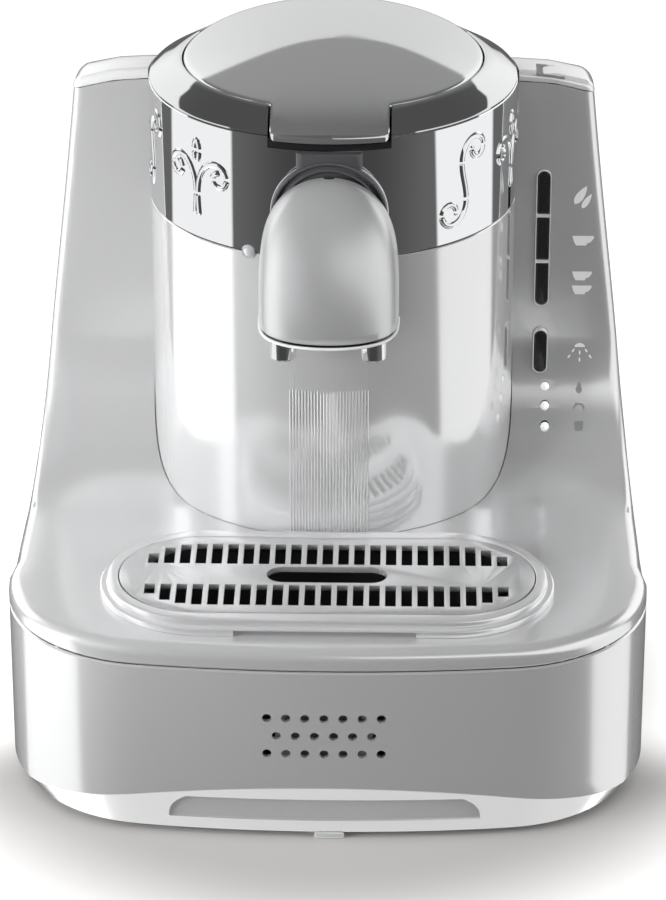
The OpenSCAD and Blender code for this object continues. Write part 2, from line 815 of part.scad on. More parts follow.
module lid() {
  low = ring_top - 5;
  dome_r = (pow(lid_r, 2) + pow(lid_dome, 2)) / (2 * lid_dome);
  color("silver") difference() {
    union() {
      on_axis(0) intersection() {
        translate([0, 0, low]) cylinder(r = lid_r, h = 40, $fn = 192);
        translate([0, 0, ring_top + lid_dome - dome_r]) sphere(r = dome_r, $fn = 240);
      }
      lid_tab();
      // hinge eye and its web
      translate([-hinge_w / 2, hinge_y, hinge_z]) rotate([0, 90, 0]) cylinder(r = hinge_eye_r, h = hinge_w);
      translate([-hinge_w / 2, hinge_y - 8, hinge_z - 2.4]) cube([hinge_w, 8, 4]);
    }
    translate([0, hinge_y, hinge_z]) rotate([0, 90, 0])
      cylinder(r = hinge_pin_r + pin_gap, h = 60, center = true, $fn = 32);
    // hollow under the dome
    on_axis(low - 1) cylinder(r = lid_r - 6, h = 4);
  }
}

// Sloping tongue that carries on the lid's surface over the ring's notch.
module lid_tab() {
  reach = col_r + 1;
  intersection() {
    across([[col_y - lid_r + 6, ring_top - 0.3], [col_y - lid_r + 6, ring_top - 4.6],
      [col_y - reach, band_top - 1.2], [col_y - reach - 0.2, band_top + 1.6],
      [col_y - lid_r, ring_top - 0.1]], tab_w);
    on_axis(0) cylinder(r = reach, h = BIG, $fn = 192);
  }
}

module lid_liner() {
  color("dimgray") on_axis(ring_top - 5 - 2) difference() {
    union() {
      translate([0, 0, 2]) cylinder(r = lid_r - 6 - 0.3, h = 2.9);
      cylinder(r = lid_r - 8, h = 2.2);
    }
    translate([0, 0, -1]) cylinder(r = lid_r - 22, h = 4);
  }
}

module brew_pot() {
  color([0.85, 0.85, 0.87]) difference() {
    union() {
      on_axis(0) rotate_extrude($fn = 128) polygon([
        [0, pot_z], [pot_r + pot_t, pot_z], [pot_r + pot_t, flange_z], [housing_in - 1, flange_z],
        [housing_in - 1, flange_z + pot_t], [pot_r, flange_z + pot_t], [pot_r, pot_z + pot_t],
        [0, pot_z + pot_t]
      ]);
      translate([0, valve_back + 5.5, outlet_z]) rotate([90, 0, 0]) cylinder(r = outlet_r - 0.6, h = 5.5);
    }
    translate([0, valve_back + 8, outlet_z]) rotate([90, 0, 0]) cylinder(d = outlet_bore, h = 9);
    pot_inlet_bore(2.2);
  }
}

module pot_inlet_bore(r) {
  translate([-pot_r - 5, col_y, inlet_z]) rotate([0, 90, 0]) cylinder(r = r, h = 10, $fn = 24);
}

module pot_gasket() {
  color("black") on_axis(flange_z + pot_t) tube(housing_in - 2, ring_bore + 1, gasket_t);
}

module heater_plate() {
  color("darkgray") on_axis(pot_z - heater_t) cylinder(r = pot_r - 2, h = heater_t);
}

module heating_element() {
  color("dimgray") on_axis(pot_z - heater_t - 6) difference() {
    tube(pot_r - 8, pot_r - 16, 6);
    translate([20, -pot_r - 12, -1]) cube([6, 30, 8]);
  }
}

module thermostat() {
  color("lightgray") on_axis(pot_z - heater_t - 8) {
    cylinder(r = 8, h = 8);
    for (s = [-1, 1]) translate([s * 4 - 1.5, -0.4, -5]) cube([3, 0.8, 5]);
  }
}

module temperature_sensor() {
  color("white") translate([-20, col_y, pot_z - heater_t - 10]) cylinder(r = 3, h = 10, $fn = 32);
}

module outlet_valve() {
  depth = valve_back - valve_front;
  color("dimgray") translate([0, valve_back - depth, 0]) difference() {
    union() {
      translate([-12, 0, outlet_z - 7]) cube([24, depth, 14]);
      translate([16, depth / 2, outlet_z - 7]) cylinder(r = 6, h = 14);
    }
    translate([0, -1, outlet_z]) rotate([-90, 0, 0]) cylinder(d = outlet_bore, h = depth + 2);
  }
}

module outlet_nipple() {
  color("dimgray") translate([0, nipple_end, outlet_z]) rotate([-90, 0, 0])
    tube(outlet_r, outlet_bore / 2, valve_front - nipple_end);
}

// ---------- spout ----------

module spout_socket() {
  z = spout_top - socket_r + 6;
  color([0.2, 0.2, 0.21]) difference() {
    union() {
      translate([0, col_front - 4, z]) rotate([-90, 0, 0]) cylinder(r = socket_r, h = 12);
      translate([-13.5, col_front - 3, z]) cube([27, 12, BIG]);
    }
    column_cut(0, 0);
    translate([0, col_front - 20, outlet_z]) rotate([-90, 0, 0]) cylinder(r = outlet_r + 3.2, h = 40);
    translate([-40, col_front - 20, band_top - tab_drop]) cube([80, 40, BIG]);
  }
}

// Half width of the spout at height z.
function spout_half(z, t) = let (u = (z - spout_z) / (spout_top - spout_z))
  (spout_w / 2) * pow(max(0, 1 - pow(max(0, u), 4)), 0.5) - t;

// Front face of the spout at height z.
function spout_front(z) = let (u = (z - spout_z) / (spout_top - spout_z))
  col_front - 6 - (spout_reach - 6) * pow(max(0, 1 - pow(max(0, u), 2)), 0.62);

// One level of the spout at height z, with the outline of height zz moved inwards by t:
// flat at the back, crowned at the front.
function spout_ring(z, zz, t) =
  let (w = max(0.8, spout_half(zz, t)), yb = col_front - (t > 0 ? 4 : 5), yf = spout_front(zz) + t, n = 18)
    [for (i = [0:n]) let (a = 180 + 180 * i / n)
      [w * cos(a), yb + (yf - yb) * pow(max(0, -sin(a)), 0.55), z]];

module spout_cover() {
  t = 2;
  color("silver") difference() {
    loft([for (z = spout_levels) spout_ring(z, z, 0)]);
    loft(concat([spout_ring(spout_z - 1, spout_z, t)],
      [for (z = spout_levels) if (z < spout_top - 4) spout_ring(z, z, t)]));
  }
}

module spout_plate() {
  color([0.75, 0.75, 0.77]) difference() {
    loft([spout_ring(spout_z - plate_t, spout_z, 1.6), spout_ring(spout_z - plate_t + 1, spout_z, -0.3),
      spout_ring(spout_z, spout_z, -0.4)]);
    nozzle_places(spout_z - 10) cylinder(d = nozzle_d + 0.02, h = 20, $fn = 48);
  }
}

module nozzle_places(z) {
  for (s = [-1, 1]) translate([s * nozzle_x, nozzle_y, z]) children();
}

module spout_nozzles() {
  color("silver") nozzle_places(spout_z - plate_t - nozzle_len)
    tube(nozzle_d / 2, nozzle_bore / 2, nozzle_len + plate_t + 3, $fn = 48);
}

// Channel block that takes the coffee from the nipple to both nozzles.
module spout_manifold() {
  z0 = spout_z + 3;
  sock = outlet_r + 0.3;
  color("dimgray") difference() {
    union() {
      translate([0, nozzle_y, z0]) stadium(2 * nozzle_x + 9, 9, 9);
      translate([-7, nozzle_y - 4.5, z0 + 8]) cube([14, 9, outlet_z - z0 - 4]);
      translate([0, nozzle_y, outlet_z]) rotate([-90, 0, 0])
        cylinder(r = sock + 2.4, h = col_front - nozzle_y - 0.6);
    }
    nozzle_places(z0 - 1) cylinder(d = nozzle_bore, h = 5.5, $fn = 32);
    translate([-nozzle_x, nozzle_y, z0 + 5]) rotate([0, 90, 0]) cylinder(d = nozzle_bore, h = 2 * nozzle_x);
    nozzle_places(z0 + 4.5) sphere(d = nozzle_bore, $fn = 32);
    translate([0, nozzle_y, z0 + 5]) cylinder(d = nozzle_bore, h = outlet_z - z0 - 5);
    translate([0, nozzle_y, outlet_z]) sphere(d = nozzle_bore, $fn = 32);
    translate([0, nozzle_y, outlet_z]) rotate([-90, 0, 0]) cylinder(d = nozzle_bore, h = 30);
    translate([0, nipple_end - 1, outlet_z]) rotate([-90, 0, 0]) cylinder(r = sock, h = 40);
  }
}

// ---------- drip tank ----------

module drip_tank() {
  ledge = rim_top - grate_t;
  color("silver") difference() {
    translate([0, tray_y, 0]) {
      translate([0, 0, shelf_z]) stadium(rim_w, rim_d, rim_h / 2);
      translate([0, 0, shelf_z + rim_h / 2]) stadium(rim_w - 6, rim_d - 6, rim_h / 2);
      translate([0, 0, shelf_z - tank_depth]) stadium(well_w, well_d, tank_depth);
    }
    translate([0, tray_y, 0]) {
      translate([0, 0, shelf_z - tank_depth + tank_t]) stadium(well_w - 2 * tank_t, well_d - 2 * tank_t, BIG);
      translate([0, 0, ledge]) stadium(grate_w + 2 * slide_gap, grate_d + 2 * slide_gap, 20);
      // finger slot under the front of the rim
      translate([-finger_w / 2, -rim_d / 2 - 1, shelf_z - 1]) cube([finger_w, 6, 3.6]);
    }
  }
}

module drip_grate() {
  row_in = 9.2;
  row_out = grate_d / 2 - 6.3;
  count = floor((grate_w / 2 - 6) / slot_pitch);
  color("silver") translate([0, tray_y, rim_top - grate_t]) difference() {
    stadium(grate_w, grate_d, grate_t);
    intersection() {
      for (i = [-count:count]) for (s = [-1, 1])
        translate([i * slot_pitch - slot_w / 2, s > 0 ? row_in : -row_out, -1])
          cube([slot_w, row_out - row_in, grate_t + 2]);
      translate([0, 0, -1]) stadium(grate_w - 9, 2 * row_out, grate_t + 2);
    }
    translate([0, 0, -1]) stadium(50, 14, grate_t + 2);
  }
}

// ---------- water system ----------

module water_tank() {
  d = water_back - water_front;
  color([0.75, 0.82, 0.88]) difference() {
    union() {
      translate([0, water_mid, water_z]) rounded_block(water_w, d, water_top - water_z, water_r);
      cover_ears();
    }
    translate([0, water_mid, water_z + tank_t])
      rounded_block(water_w - 2 * tank_t, d - 2 * tank_t, BIG, water_r - tank_t);
    translate([valve_x, water_mid, water_z - 1]) cylinder(r = 4, h = 10);
    cover_axis(-BIG / 2) cylinder(r = cover_pin_r, h = BIG, $fn = 32);
  }
}

module cover_axis(x) {
  translate([x, cover_axis_y, cover_axis_z]) rotate([0, 90, 0]) children();
}

// Two posts on the tank that reach over the rear wall to the cover's hinge.
module cover_ears() {
  for (s = [-1, 1]) translate([s * cover_ear_x - cover_ear_w / 2, 0, 0]) {
    translate([0, water_back - 4, water_top - 8])
      cube([cover_ear_w, 4, cover_axis_z + 1.6 - water_top + 8]);
    translate([0, water_back - 3, cover_axis_z - 1.8])
      cube([cover_ear_w, cover_axis_y - water_back + 3, 3.4]);
    cover_axis(0) cylinder(r = cover_eye_r - 0.3, h = cover_ear_w, $fn = 32);
  }
}

module cover_pins() {
  color("gray") for (s = [-1, 1]) cover_axis(s * cover_ear_x - cover_ear_w / 2 - 5)
    cylinder(r = cover_pin_r - EPS, h = cover_ear_w + 10, $fn = 32);
}

module tank_stub() {
  color("dimgray") translate([valve_x, water_mid, 0]) difference() {
    union() {
      translate([0, 0, water_z - 10]) cylinder(r = 6.6, h = 10);
      translate([0, 0, water_z - 10]) cylinder(r = 4 - EPS, h = 10 + tank_t + 3);
    }
    translate([0, 0, water_z - 11]) cylinder(r = 2.4, h = 30);
  }
}

module valve_seat() {
  color("dimgray") translate([valve_x, water_mid, 0]) difference() {
    union() {
      translate([0, 0, deck_z - 14]) cylinder(r = 10, h = 14);
      translate([0, 0, deck_z - 2]) cylinder(r = 13, h = 2);
      translate([0, 0, deck_z - 20]) cylinder(r = 4, h = 7);
    }
    translate([0, 0, water_z - 10 - 0.5]) cylinder(r = 6.6 + slide_gap, h = 20);
    translate([0, 0, deck_z - 21]) cylinder(r = 2.4, h = 30);
  }
}

// The cap of the tower, which is also the lid of the water tank.
module tank_cover() {
  color("gainsboro") difference() {
    union() {
      difference() {
        intersection() {
          body_solid(0, seam_z);
          across(cap_zone(0), base_w + 20);
        }
        intersection() {
          body_solid(cap_t, seam_z);
          across(cap_zone(-1), base_w + 20);
        }
      }
      // hinge eyes beside the tank's posts
      for (s = [-1, 1]) for (q = [-1, 1])
        cover_axis(s * cover_ear_x + q * (cover_ear_w / 2 + ear_gap + cover_eye_w / 2) - cover_eye_w / 2)
          cylinder(r = cover_eye_r, h = cover_eye_w);
    }
    column_cut(cover_gap, 0);
    cover_axis(-BIG / 2) cylinder(r = cover_pin_r + pin_gap, h = BIG, $fn = 32);
    // room for the posts
    for (s = [-1, 1])
      translate([s * cover_ear_x - cover_ear_w / 2 - ear_gap, cover_axis_y - 7, cover_axis_z - 8])
        cube([cover_ear_w + 2 * ear_gap, 20, 8 + cover_eye_r + 0.3]);
    // finger tab, sunk at the front edge
    translate([86, face_y - 1, tower_z - 1]) cube([12, 13, 5]);
  }
}

module water_pump() {
  color("black") translate([-pump_len / 2, pump_y, pump_z]) rotate([0, 90, 0]) {
    cylinder(r = pump_r, h = pump_len);
    translate([0, 0, pump_len]) cylinder(r = 4.5, h = 9);
    translate([0, 0, -9]) cylinder(r = 4.5, h = 9);
  }
}

module pump_mounts() {
  color([0.15, 0.15, 0.15]) for (s = [-1, 1]) difference() {
    translate([s * 18 - 4, pump_y - 20, pan_z + pan_t]) cube([8, 40, pump_z - pan_z - pan_t]);
    translate([-60, pump_y, pump_z]) rotate([0, 90, 0]) cylinder(r = pump_r + 0.05, h = 120);
  }
}

module feed_hose() {
  x = pump_len / 2 + 9;
  color("white") hose([[x, pump_y, pump_z], [valve_x, pump_y, pump_z], [valve_x, water_mid, pump_z],
    [valve_x, water_mid, deck_z - 20]], hose_r, hose_bore);
}

module riser_hose() {
  x = -pump_len / 2 - 9;
  color("white") hose([[x, pump_y, pump_z], [riser_x, pump_y, pump_z], [riser_x, riser_y, pump_z],
    [riser_x, riser_y, inlet_z], [-pot_r - pot_t, riser_y, inlet_z]], hose_r, hose_bore);
}

// ---------- electronics ----------

module power_board() {
  color("darkgreen") translate([-hw + 34, tray_y + well_d / 2 + 14, 0]) {
    translate([0, 0, pan_z + pan_t + 6]) cube([70, 50, board_t]);
    for (x = [4, 66]) for (y = [4, 46]) translate([x, y, pan_z + pan_t]) cylinder(r = 3, h = 6, $fn = 24);
    translate([8, 8, pan_z + pan_t + 6 + board_t]) cube([22, 20, 18]);
    translate([42, 14, pan_z + pan_t + 6 + board_t]) cylinder(r = 6, h = 20, $fn = 32);
    translate([40, 30, pan_z + pan_t + 6 + board_t]) cube([18, 12, 12]);
  }
}

module speaker() {
  color([0.1, 0.1, 0.1]) translate([0, front_y + wall + 0.5, speaker_z]) rotate([-90, 0, 0]) difference() {
    union() {
      cylinder(r = speaker_r, h = 4);
      translate([0, 0, 4]) cylinder(r = speaker_r - 8, h = speaker_t - 4);
    }
    translate([0, 0, -1]) cylinder(r = speaker_r - 3, h = 2.5);
  }
}

module speaker_bracket() {
  y = front_y + wall + 0.5 + speaker_t;
  color("gray") {
    translate([-15, y, pan_z + pan_t]) cube([30, 2, speaker_z + 10 - pan_z - pan_t]);
    translate([-15, y, pan_z + pan_t]) cube([30, 12, 2]);
  }
}

base_shell();
base_pan();
rubber_feet();
front_foot();
body_shell();
rear_cover();
cable_gland();
column_shell();
chrome_band();
brew_housing();
top_ring();
ring_liner();
lid();
lid_liner();
lid_hinge_pin();
brew_pot();
pot_gasket();
heater_plate();
heating_element();
thermostat();
temperature_sensor();
outlet_valve();
outlet_nipple();
spout_socket();
spout_cover();
spout_plate();
spout_manifold();
spout_nozzles();
steam_lens();
inner_bulkhead();
water_tank();
tank_stub();
tank_cover();
cover_pins();
valve_seat();
feed_hose();
riser_hose();
water_pump();
pump_mounts();
power_board();
button_board();
tact_switches();
button_frames();
power_button();
one_cup_button();
two_cup_button();
rinse_button();
status_lenses();
drip_tank();
drip_grate();
speaker();
speaker_bracket();
base_screws();
cover_screws();
board_screws();
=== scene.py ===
"""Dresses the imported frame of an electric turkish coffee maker.

Sizes are written in millimetres and turned to metres where a mesh gets its points. The frame's
axes hold: +Z is up, the front looks towards -Y and the middle of the width is X = 0.
"""

from __future__ import annotations

import json
import logging
import math
from collections.abc import Callable, Iterable, Iterator, Sequence
from contextlib import contextmanager
from dataclasses import dataclass, field
from enum import Enum

import bpy
from mathutils import Matrix, Vector

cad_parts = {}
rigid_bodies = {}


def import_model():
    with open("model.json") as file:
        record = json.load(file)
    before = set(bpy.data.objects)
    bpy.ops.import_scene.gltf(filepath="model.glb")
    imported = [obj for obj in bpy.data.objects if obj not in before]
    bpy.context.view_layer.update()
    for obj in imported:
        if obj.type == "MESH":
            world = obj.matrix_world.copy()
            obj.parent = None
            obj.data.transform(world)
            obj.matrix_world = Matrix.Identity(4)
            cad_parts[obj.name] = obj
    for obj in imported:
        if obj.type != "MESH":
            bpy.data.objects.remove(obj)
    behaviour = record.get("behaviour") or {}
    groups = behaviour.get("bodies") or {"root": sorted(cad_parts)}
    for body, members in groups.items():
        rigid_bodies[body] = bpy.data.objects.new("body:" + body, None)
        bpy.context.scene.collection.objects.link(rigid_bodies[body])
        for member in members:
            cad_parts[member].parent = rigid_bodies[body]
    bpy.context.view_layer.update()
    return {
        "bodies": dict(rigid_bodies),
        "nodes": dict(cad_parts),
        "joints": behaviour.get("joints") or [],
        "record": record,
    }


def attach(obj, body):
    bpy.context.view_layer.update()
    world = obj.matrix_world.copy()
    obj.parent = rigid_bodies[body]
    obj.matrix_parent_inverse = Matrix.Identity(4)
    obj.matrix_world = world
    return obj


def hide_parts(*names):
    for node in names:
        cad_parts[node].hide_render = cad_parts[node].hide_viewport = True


LOG = logging.getLogger("coffee_maker")
MM = 0.001
WELD = 0.00002  # points closer than this, in metres, become one
COLUMN_Y = 30.0  # the upright axis that the column, the band, the ring and the lid share
SOCKET_Z = 238.0  # the middle of the dark socket behind the spout
HINGE_Y, HINGE_Z, HINGE_R = 96.8, 276.5, 2.8
TRAY_Y = -94.0  # the middle of the drip tank and its grate

Point = tuple[float, float, float]
Point2 = tuple[float, float]
Colour = tuple[float, float, float]
Station = tuple[Point, Vector, Vector]
EdgePlace = tuple[float, float, Point2]

ORIGIN = (0.0, 0.0, 0.0)
COLUMN_AXIS = (0.0, COLUMN_Y, 0.0)
UP = Vector((0.0, 0.0, 1.0))
WHITE = (1.0, 1.0, 1.0, 1.0)
BLACK = (0.0, 0.0, 0.0, 1.0)
COAT_ROUGHNESS = 0.04
GRAIN_DEPTH = 0.06  # millimetres
TIP_SHARE = 0.35  # how thick a bead is at its ends


# ---------------------------------------------------------------- shader sheets


class Sig:
    """A value that runs through a sheet of nodes; arithmetic on it adds Math nodes."""

    def __init__(self, sheet: NodeSheet, node: bpy.types.Node, out: int | str = 0) -> None:
        """Stands for one output of a node."""
        self.sheet, self.node, self.out = sheet, node, out

    @property
    def socket(self) -> bpy.types.NodeSocket:
        """The output itself."""
        return self.node.outputs[self.out]

    def __add__(self, other: Sig | float) -> Sig:
        """Sum."""
        return self.sheet.maths("ADD", self, other)

    __radd__ = __add__

    def __sub__(self, other: Sig | float) -> Sig:
        """Difference."""
        return self.sheet.maths("SUBTRACT", self, other)

    def __rsub__(self, other: float) -> Sig:
        """Difference from a plain number."""
        return self.sheet.maths("SUBTRACT", other, self)

    def __mul__(self, other: Sig | float) -> Sig:
        """Product."""
        return self.sheet.maths("MULTIPLY", self, other)

    __rmul__ = __mul__

    def __truediv__(self, other: Sig | float) -> Sig:
        """Quotient."""
        return self.sheet.maths("DIVIDE", self, other)

    def over(self, low: float, high: float) -> Sig:
        """0 below low, 1 above high, and a smooth step between; low may be the larger."""
        inputs = {0: self, 1: low, 2: high, 3: 0.0, 4: 1.0}
        return self.sheet.add("ShaderNodeMapRange", {"interpolation_type": "SMOOTHSTEP"}, inputs)


class NodeSheet:
    """The nodes of one material or of the world."""

    def __init__(self, tree: bpy.types.NodeTree) -> None:
        """Starts with an empty tree."""
        self.tree = tree
        tree.nodes.clear()

    def add(self, kind: str, settings: dict | None = None, inputs: dict | None = None,
            out: int | str = 0) -> Sig:
        """Adds one node.

        Args:
            kind: The node's type name.
            settings: Attributes that are set first.
            inputs: Values or signals by socket index or name.
            out: The output that is wanted.

        Returns:
            That output as a signal.
        """
        node = self.tree.nodes.new(kind)
        for key, value in (settings or {}).items():
            setattr(node, key, value)
        for key, value in (inputs or {}).items():
            if isinstance(value, Sig):
                self.tree.links.new(value.socket, node.inputs[key])
            else:
                node.inputs[key].default_value = value
        return Sig(self, node, out)

    def maths(self, operation: str, *values: Sig | float) -> Sig:
        """One Math node over these values."""
        return self.add("ShaderNodeMath", {"operation": operation}, dict(enumerate(values)))

    def axes(self, place: str) -> list[Sig]:
        """X, Y and Z of one kind of coordinates."""
        split = self.add("ShaderNodeSeparateXYZ", inputs={0: self.add("ShaderNodeTexCoord", out=place)})
        return [Sig(self, split.node, i) for i in range(3)]

    def noise(self, scale: float, detail: float = 2.0, stretch: Point = (1.0, 1.0, 1.0)) -> Sig:
        """Noise on the piece's own coordinates, stretched along the axes.

        Args:
            scale: How fine it is.
            detail: How many finer layers it has.
            stretch: Factors along X, Y and Z.

        Returns:
            The noise, about 0 to 1.
        """
        place = self.add("ShaderNodeTexCoord", out="Object")
        turned = self.add("ShaderNodeMapping", inputs={"Vector": place, "Scale": stretch})
        return self.add("ShaderNodeTexNoise", inputs={"Vector": turned, "Scale": scale, "Detail": detail})

    def blend(self, factor: Sig | float, first: Colour | Sig, second: Colour | Sig) -> Sig:
        """Colour between first at 0 and second at 1.

        Args:
            factor: 0 gives first and 1 gives second.
            first: A colour or a signal.
            second: A colour or a signal.

        Returns:
            The mixed colour.
        """
        inputs = {0: factor}
        for slot, colour in ((6, first), (7, second)):
            inputs[slot] = colour if isinstance(colour, Sig) else (*colour, 1.0)
        return self.add("ShaderNodeMix", {"data_type": "RGBA"}, inputs, out=2)

    def bump(self, height: Sig, strength: float, distance_mm: float) -> Sig:
        """Normal that follows a height."""
        return self.add("ShaderNodeBump", inputs={
            "Height": height, "Strength": strength, "Distance": distance_mm * MM})


def shade(colour: Colour, factor: float) -> Colour:
    """The colour, lighter or darker by a factor."""
    return tuple(min(1.0, max(0.0, c * factor)) for c in colour)


@dataclass(frozen=True)
class Finish:
    """A moulded or painted surface with fine grain and slow shifts in tone.

    Grain is the strength of the fine bump and stretch its direction. Tone is how far the colour
    drifts, and rough_drift how far the gloss does.
    """

    name: str
    colour: Colour
    roughness: float
    metallic: float = 0.0
    coat: float = 0.0
    tone: float = 0.02
    rough_drift: float = 0.03
    grain_scale: float = 1400.0
    grain: float = 0.03
    stretch: Point = (1.0, 1.0, 1.0)
    transmission: float = 0.0
    glow: float = 0.0

    def material(self) -> bpy.types.Material:
        """The material of this finish, made on first use.

        Returns:
            The material.
        """
        made = bpy.data.materials.get(self.name)
        if made is None:
            made = bpy.data.materials.new(self.name)
            made.use_nodes = True
            self._wire(NodeSheet(made.node_tree))
        return made

    def _colour(self, sheet: NodeSheet) -> Sig:
        """Base colour that drifts slowly and sparkles finely.

        Args:
            sheet: The material's sheet.

        Returns:
            The colour.
        """
        slow = sheet.noise(9.0, 3.0)
        fine = sheet.noise(self.grain_scale, 1.0, self.stretch)
        mixed = sheet.blend(slow, shade(self.colour, 1 - self.tone), shade(self.colour, 1 + self.tone))
        dark = sheet.blend(0.5, mixed, shade(self.colour, 1 - 2 * self.tone))
        return sheet.blend(fine.over(0.4, 0.6), dark, mixed)

    def _roughness(self, sheet: NodeSheet) -> Sig:
        """Roughness with handling marks."""
        marks = sheet.noise(26.0, 4.0)
        return (marks - 0.5) * (2 * self.rough_drift) + self.roughness

    def _wire(self, sheet: NodeSheet) -> None:
        """Joins the nodes up to the output.

        Args:
            sheet: The material's sheet.
        """
        fine = sheet.noise(self.grain_scale, 2.0, self.stretch)
        colour = self._colour(sheet)
        inputs = {
            "Base Color": colour,
            "Roughness": self._roughness(sheet),
            "Metallic": self.metallic,
            "Coat Weight": self.coat,
            "Coat Roughness": COAT_ROUGHNESS,
            "Transmission Weight": self.transmission,
            "Normal": sheet.bump(fine, self.grain, GRAIN_DEPTH),
        }
        if self.glow:
            inputs["Emission Color"] = colour
            inputs["Emission Strength"] = self.glow
        shader = sheet.add("ShaderNodeBsdfPrincipled", inputs=inputs)
        sheet.add("ShaderNodeOutputMaterial", inputs={"Surface": shader})


@dataclass(frozen=True)
class SilverPaint(Finish):
    """Glossy silver paint on a moulding: metal flake under a clear coat, with faint wiping marks."""

    flake: float = 0.035

    def _colour(self, sheet: NodeSheet) -> Sig:
        """Silver with fine flake and a faint warm drift.

        Args:
            sheet: The material's sheet.

        Returns:
            The colour.
        """
        flakes = sheet.noise(3200.0, 0.0).over(0.35, 0.65)
        drift = sheet.noise(7.0, 2.0)
        plain = sheet.blend(drift, shade(self.colour, 0.985), shade(self.colour, 1.015))
        return sheet.blend(flakes * self.flake, plain, (0.97, 0.97, 0.98))

    def _roughness(self, sheet: NodeSheet) -> Sig:
        """Gloss with faint wiping marks."""
        wiped = sheet.noise(14.0, 5.0, (1.0, 1.0, 0.35)).over(0.45, 0.8)
        return wiped * self.rough_drift + self.roughness


@dataclass(frozen=True)
class CircuitBoard(Finish):
    """Green solder mask with paler copper tracks under it."""

    def _colour(self, sheet: NodeSheet) -> Sig:
        """Mask colour, lighter along the tracks.

        Args:
            sheet: The material's sheet.

        Returns:
            The colour.
        """
        place = sheet.add("ShaderNodeTexCoord", out="Object")
        bricks = sheet.add("ShaderNodeTexBrick", {"offset": 0.5}, {
            "Vector": place, "Scale": 160.0, "Mortar Size": 0.06,
            "Color1": BLACK, "Color2": BLACK, "Mortar": WHITE})
        return sheet.blend(bricks, self.colour, shade(self.colour, 2.2))


class Paint(Enum):
    """The finishes of this machine."""

    HOUSING = SilverPaint("silver_paint", (0.80, 0.803, 0.81), 0.19, 0.6, 0.8, grain=0.004)
    # Lighter, less metallic copy of the housing paint: painted light that makes the tank cover on top of the
    # tower brighter; the front foot wears it too.
    CAP = SilverPaint("silver_paint_painted_light", (0.87, 0.873, 0.88), 0.12, 0.42, 0.3, grain=0.006)
    COLUMN = SilverPaint("silver_column", (0.80, 0.803, 0.81), 0.11, 0.62, 0.7, grain=0.004)
    LID = SilverPaint("silver_lid", (0.72, 0.725, 0.73), 0.05, 0.92, 0.1, rough_drift=0.02, grain=0.006)
    BEVEL = SilverPaint("bevel_silver", (0.64, 0.645, 0.65), 0.03, 1.0, 0.1, rough_drift=0.02, grain=0.004)
    CHROME = Finish("chrome", (0.84, 0.845, 0.855), 0.03, 1.0, tone=0.005, rough_drift=0.015, grain=0.0)
    SPOUT = SilverPaint("silver_spout", (0.64, 0.645, 0.65), 0.36, 0.70, 0.1, rough_drift=0.02, grain=0.004)
    # Near-black finish for the inside of the drip tank: painted shade under the grate.
    WELL = Finish("tray_well_painted_shade", (0.03, 0.03, 0.032), 0.4, tone=0.1, grain=0.2)
    SATIN = Finish("satin_silver", (0.78, 0.785, 0.79), 0.24, 0.75, 0.15, tone=0.015, grain=0.02)
    FRAME = Finish("light_trim", (0.86, 0.865, 0.87), 0.2, 0.3, 0.2, tone=0.01, grain=0.01)
    PRINT = Finish("panel_print", (0.92, 0.925, 0.93), 0.35, 0.0, tone=0.01, grain=0.02)
    EMBOSS = Finish("panel_emboss", (0.40, 0.405, 0.41), 0.28, 0.5, tone=0.01, grain=0.02)
    BLACK = Finish("black_gloss", (0.012, 0.012, 0.013), 0.08, 0.0, 0.5, tone=0.2, grain=0.01)
    KEY = Finish("key_black", (0.018, 0.018, 0.02), 0.22, 0.0, 0.3, tone=0.2, grain=0.04)
    COLLAR = Finish("collar_black", (0.022, 0.022, 0.024), 0.12, 0.0, 0.6, tone=0.15, grain=0.01)
    TAB = Finish("cover_tab_grey", (0.24, 0.24, 0.245), 0.55, 0.0, tone=0.05, grain=0.05)
    LAMP = Finish("lamp_white", (0.95, 0.96, 0.97), 0.2, 0.0, 0.3, tone=0.01, grain=0.0, glow=0.35)
    STEAM = Finish("steam_lens", (0.62, 0.63, 0.64), 0.05, 0.55, 0.5, tone=0.01, grain=0.0)
    PLASTIC = Finish("inner_plastic", (0.07, 0.07, 0.075), 0.5, tone=0.15, grain=0.25)
    PAN = Finish("pan_plastic", (0.10, 0.10, 0.105), 0.55, tone=0.12, grain=0.3)
    RUBBER = Finish("rubber", (0.022, 0.022, 0.022), 0.75, tone=0.2, grain=0.5)
    HOSE = Finish("silicone", (0.82, 0.83, 0.82), 0.35, tone=0.04, grain=0.1, transmission=0.35)
    STEEL = Finish("brushed_steel", (0.66, 0.66, 0.67), 0.22, 1.0, tone=0.03, grain=0.12,
                   grain_scale=500.0, stretch=(1.0, 1.0, 9.0))
    DARK_STEEL = Finish("dark_steel", (0.36, 0.36, 0.37), 0.38, 1.0, tone=0.08, grain=0.2)
    TANK = Finish("clear_tank", (0.86, 0.92, 0.95), 0.06, tone=0.01, grain=0.02, transmission=0.85)
    CERAMIC = Finish("ceramic", (0.85, 0.84, 0.80), 0.5, tone=0.05, grain=0.2)
    BOARD = CircuitBoard("circuit_board", (0.02, 0.11, 0.05), 0.35, 0.0, 0.3, tone=0.1, grain=0.05)

    def on(self, obj: bpy.types.Object) -> bpy.types.Object:
        """Puts this finish on every slot of an object.

        Args:
            obj: The object.

        Returns:
            The same object.
        """
        if obj.material_slots:
            for slot in obj.material_slots:
                slot.material = self.value.material()
        else:
            obj.data.materials.append(self.value.material())
        return obj


# ---------------------------------------------------------------- hand modelling


def select_only(obj: bpy.types.Object) -> None:
    """Makes one object the only one selected, and the active one.

    Args:
        obj: The object.
    """
    if bpy.context.object and bpy.context.object.mode != "OBJECT":
        bpy.ops.object.mode_set(mode="OBJECT")
    bpy.ops.object.select_all(action="DESELECT")
    obj.select_set(True)
    bpy.context.view_layer.objects.active = obj


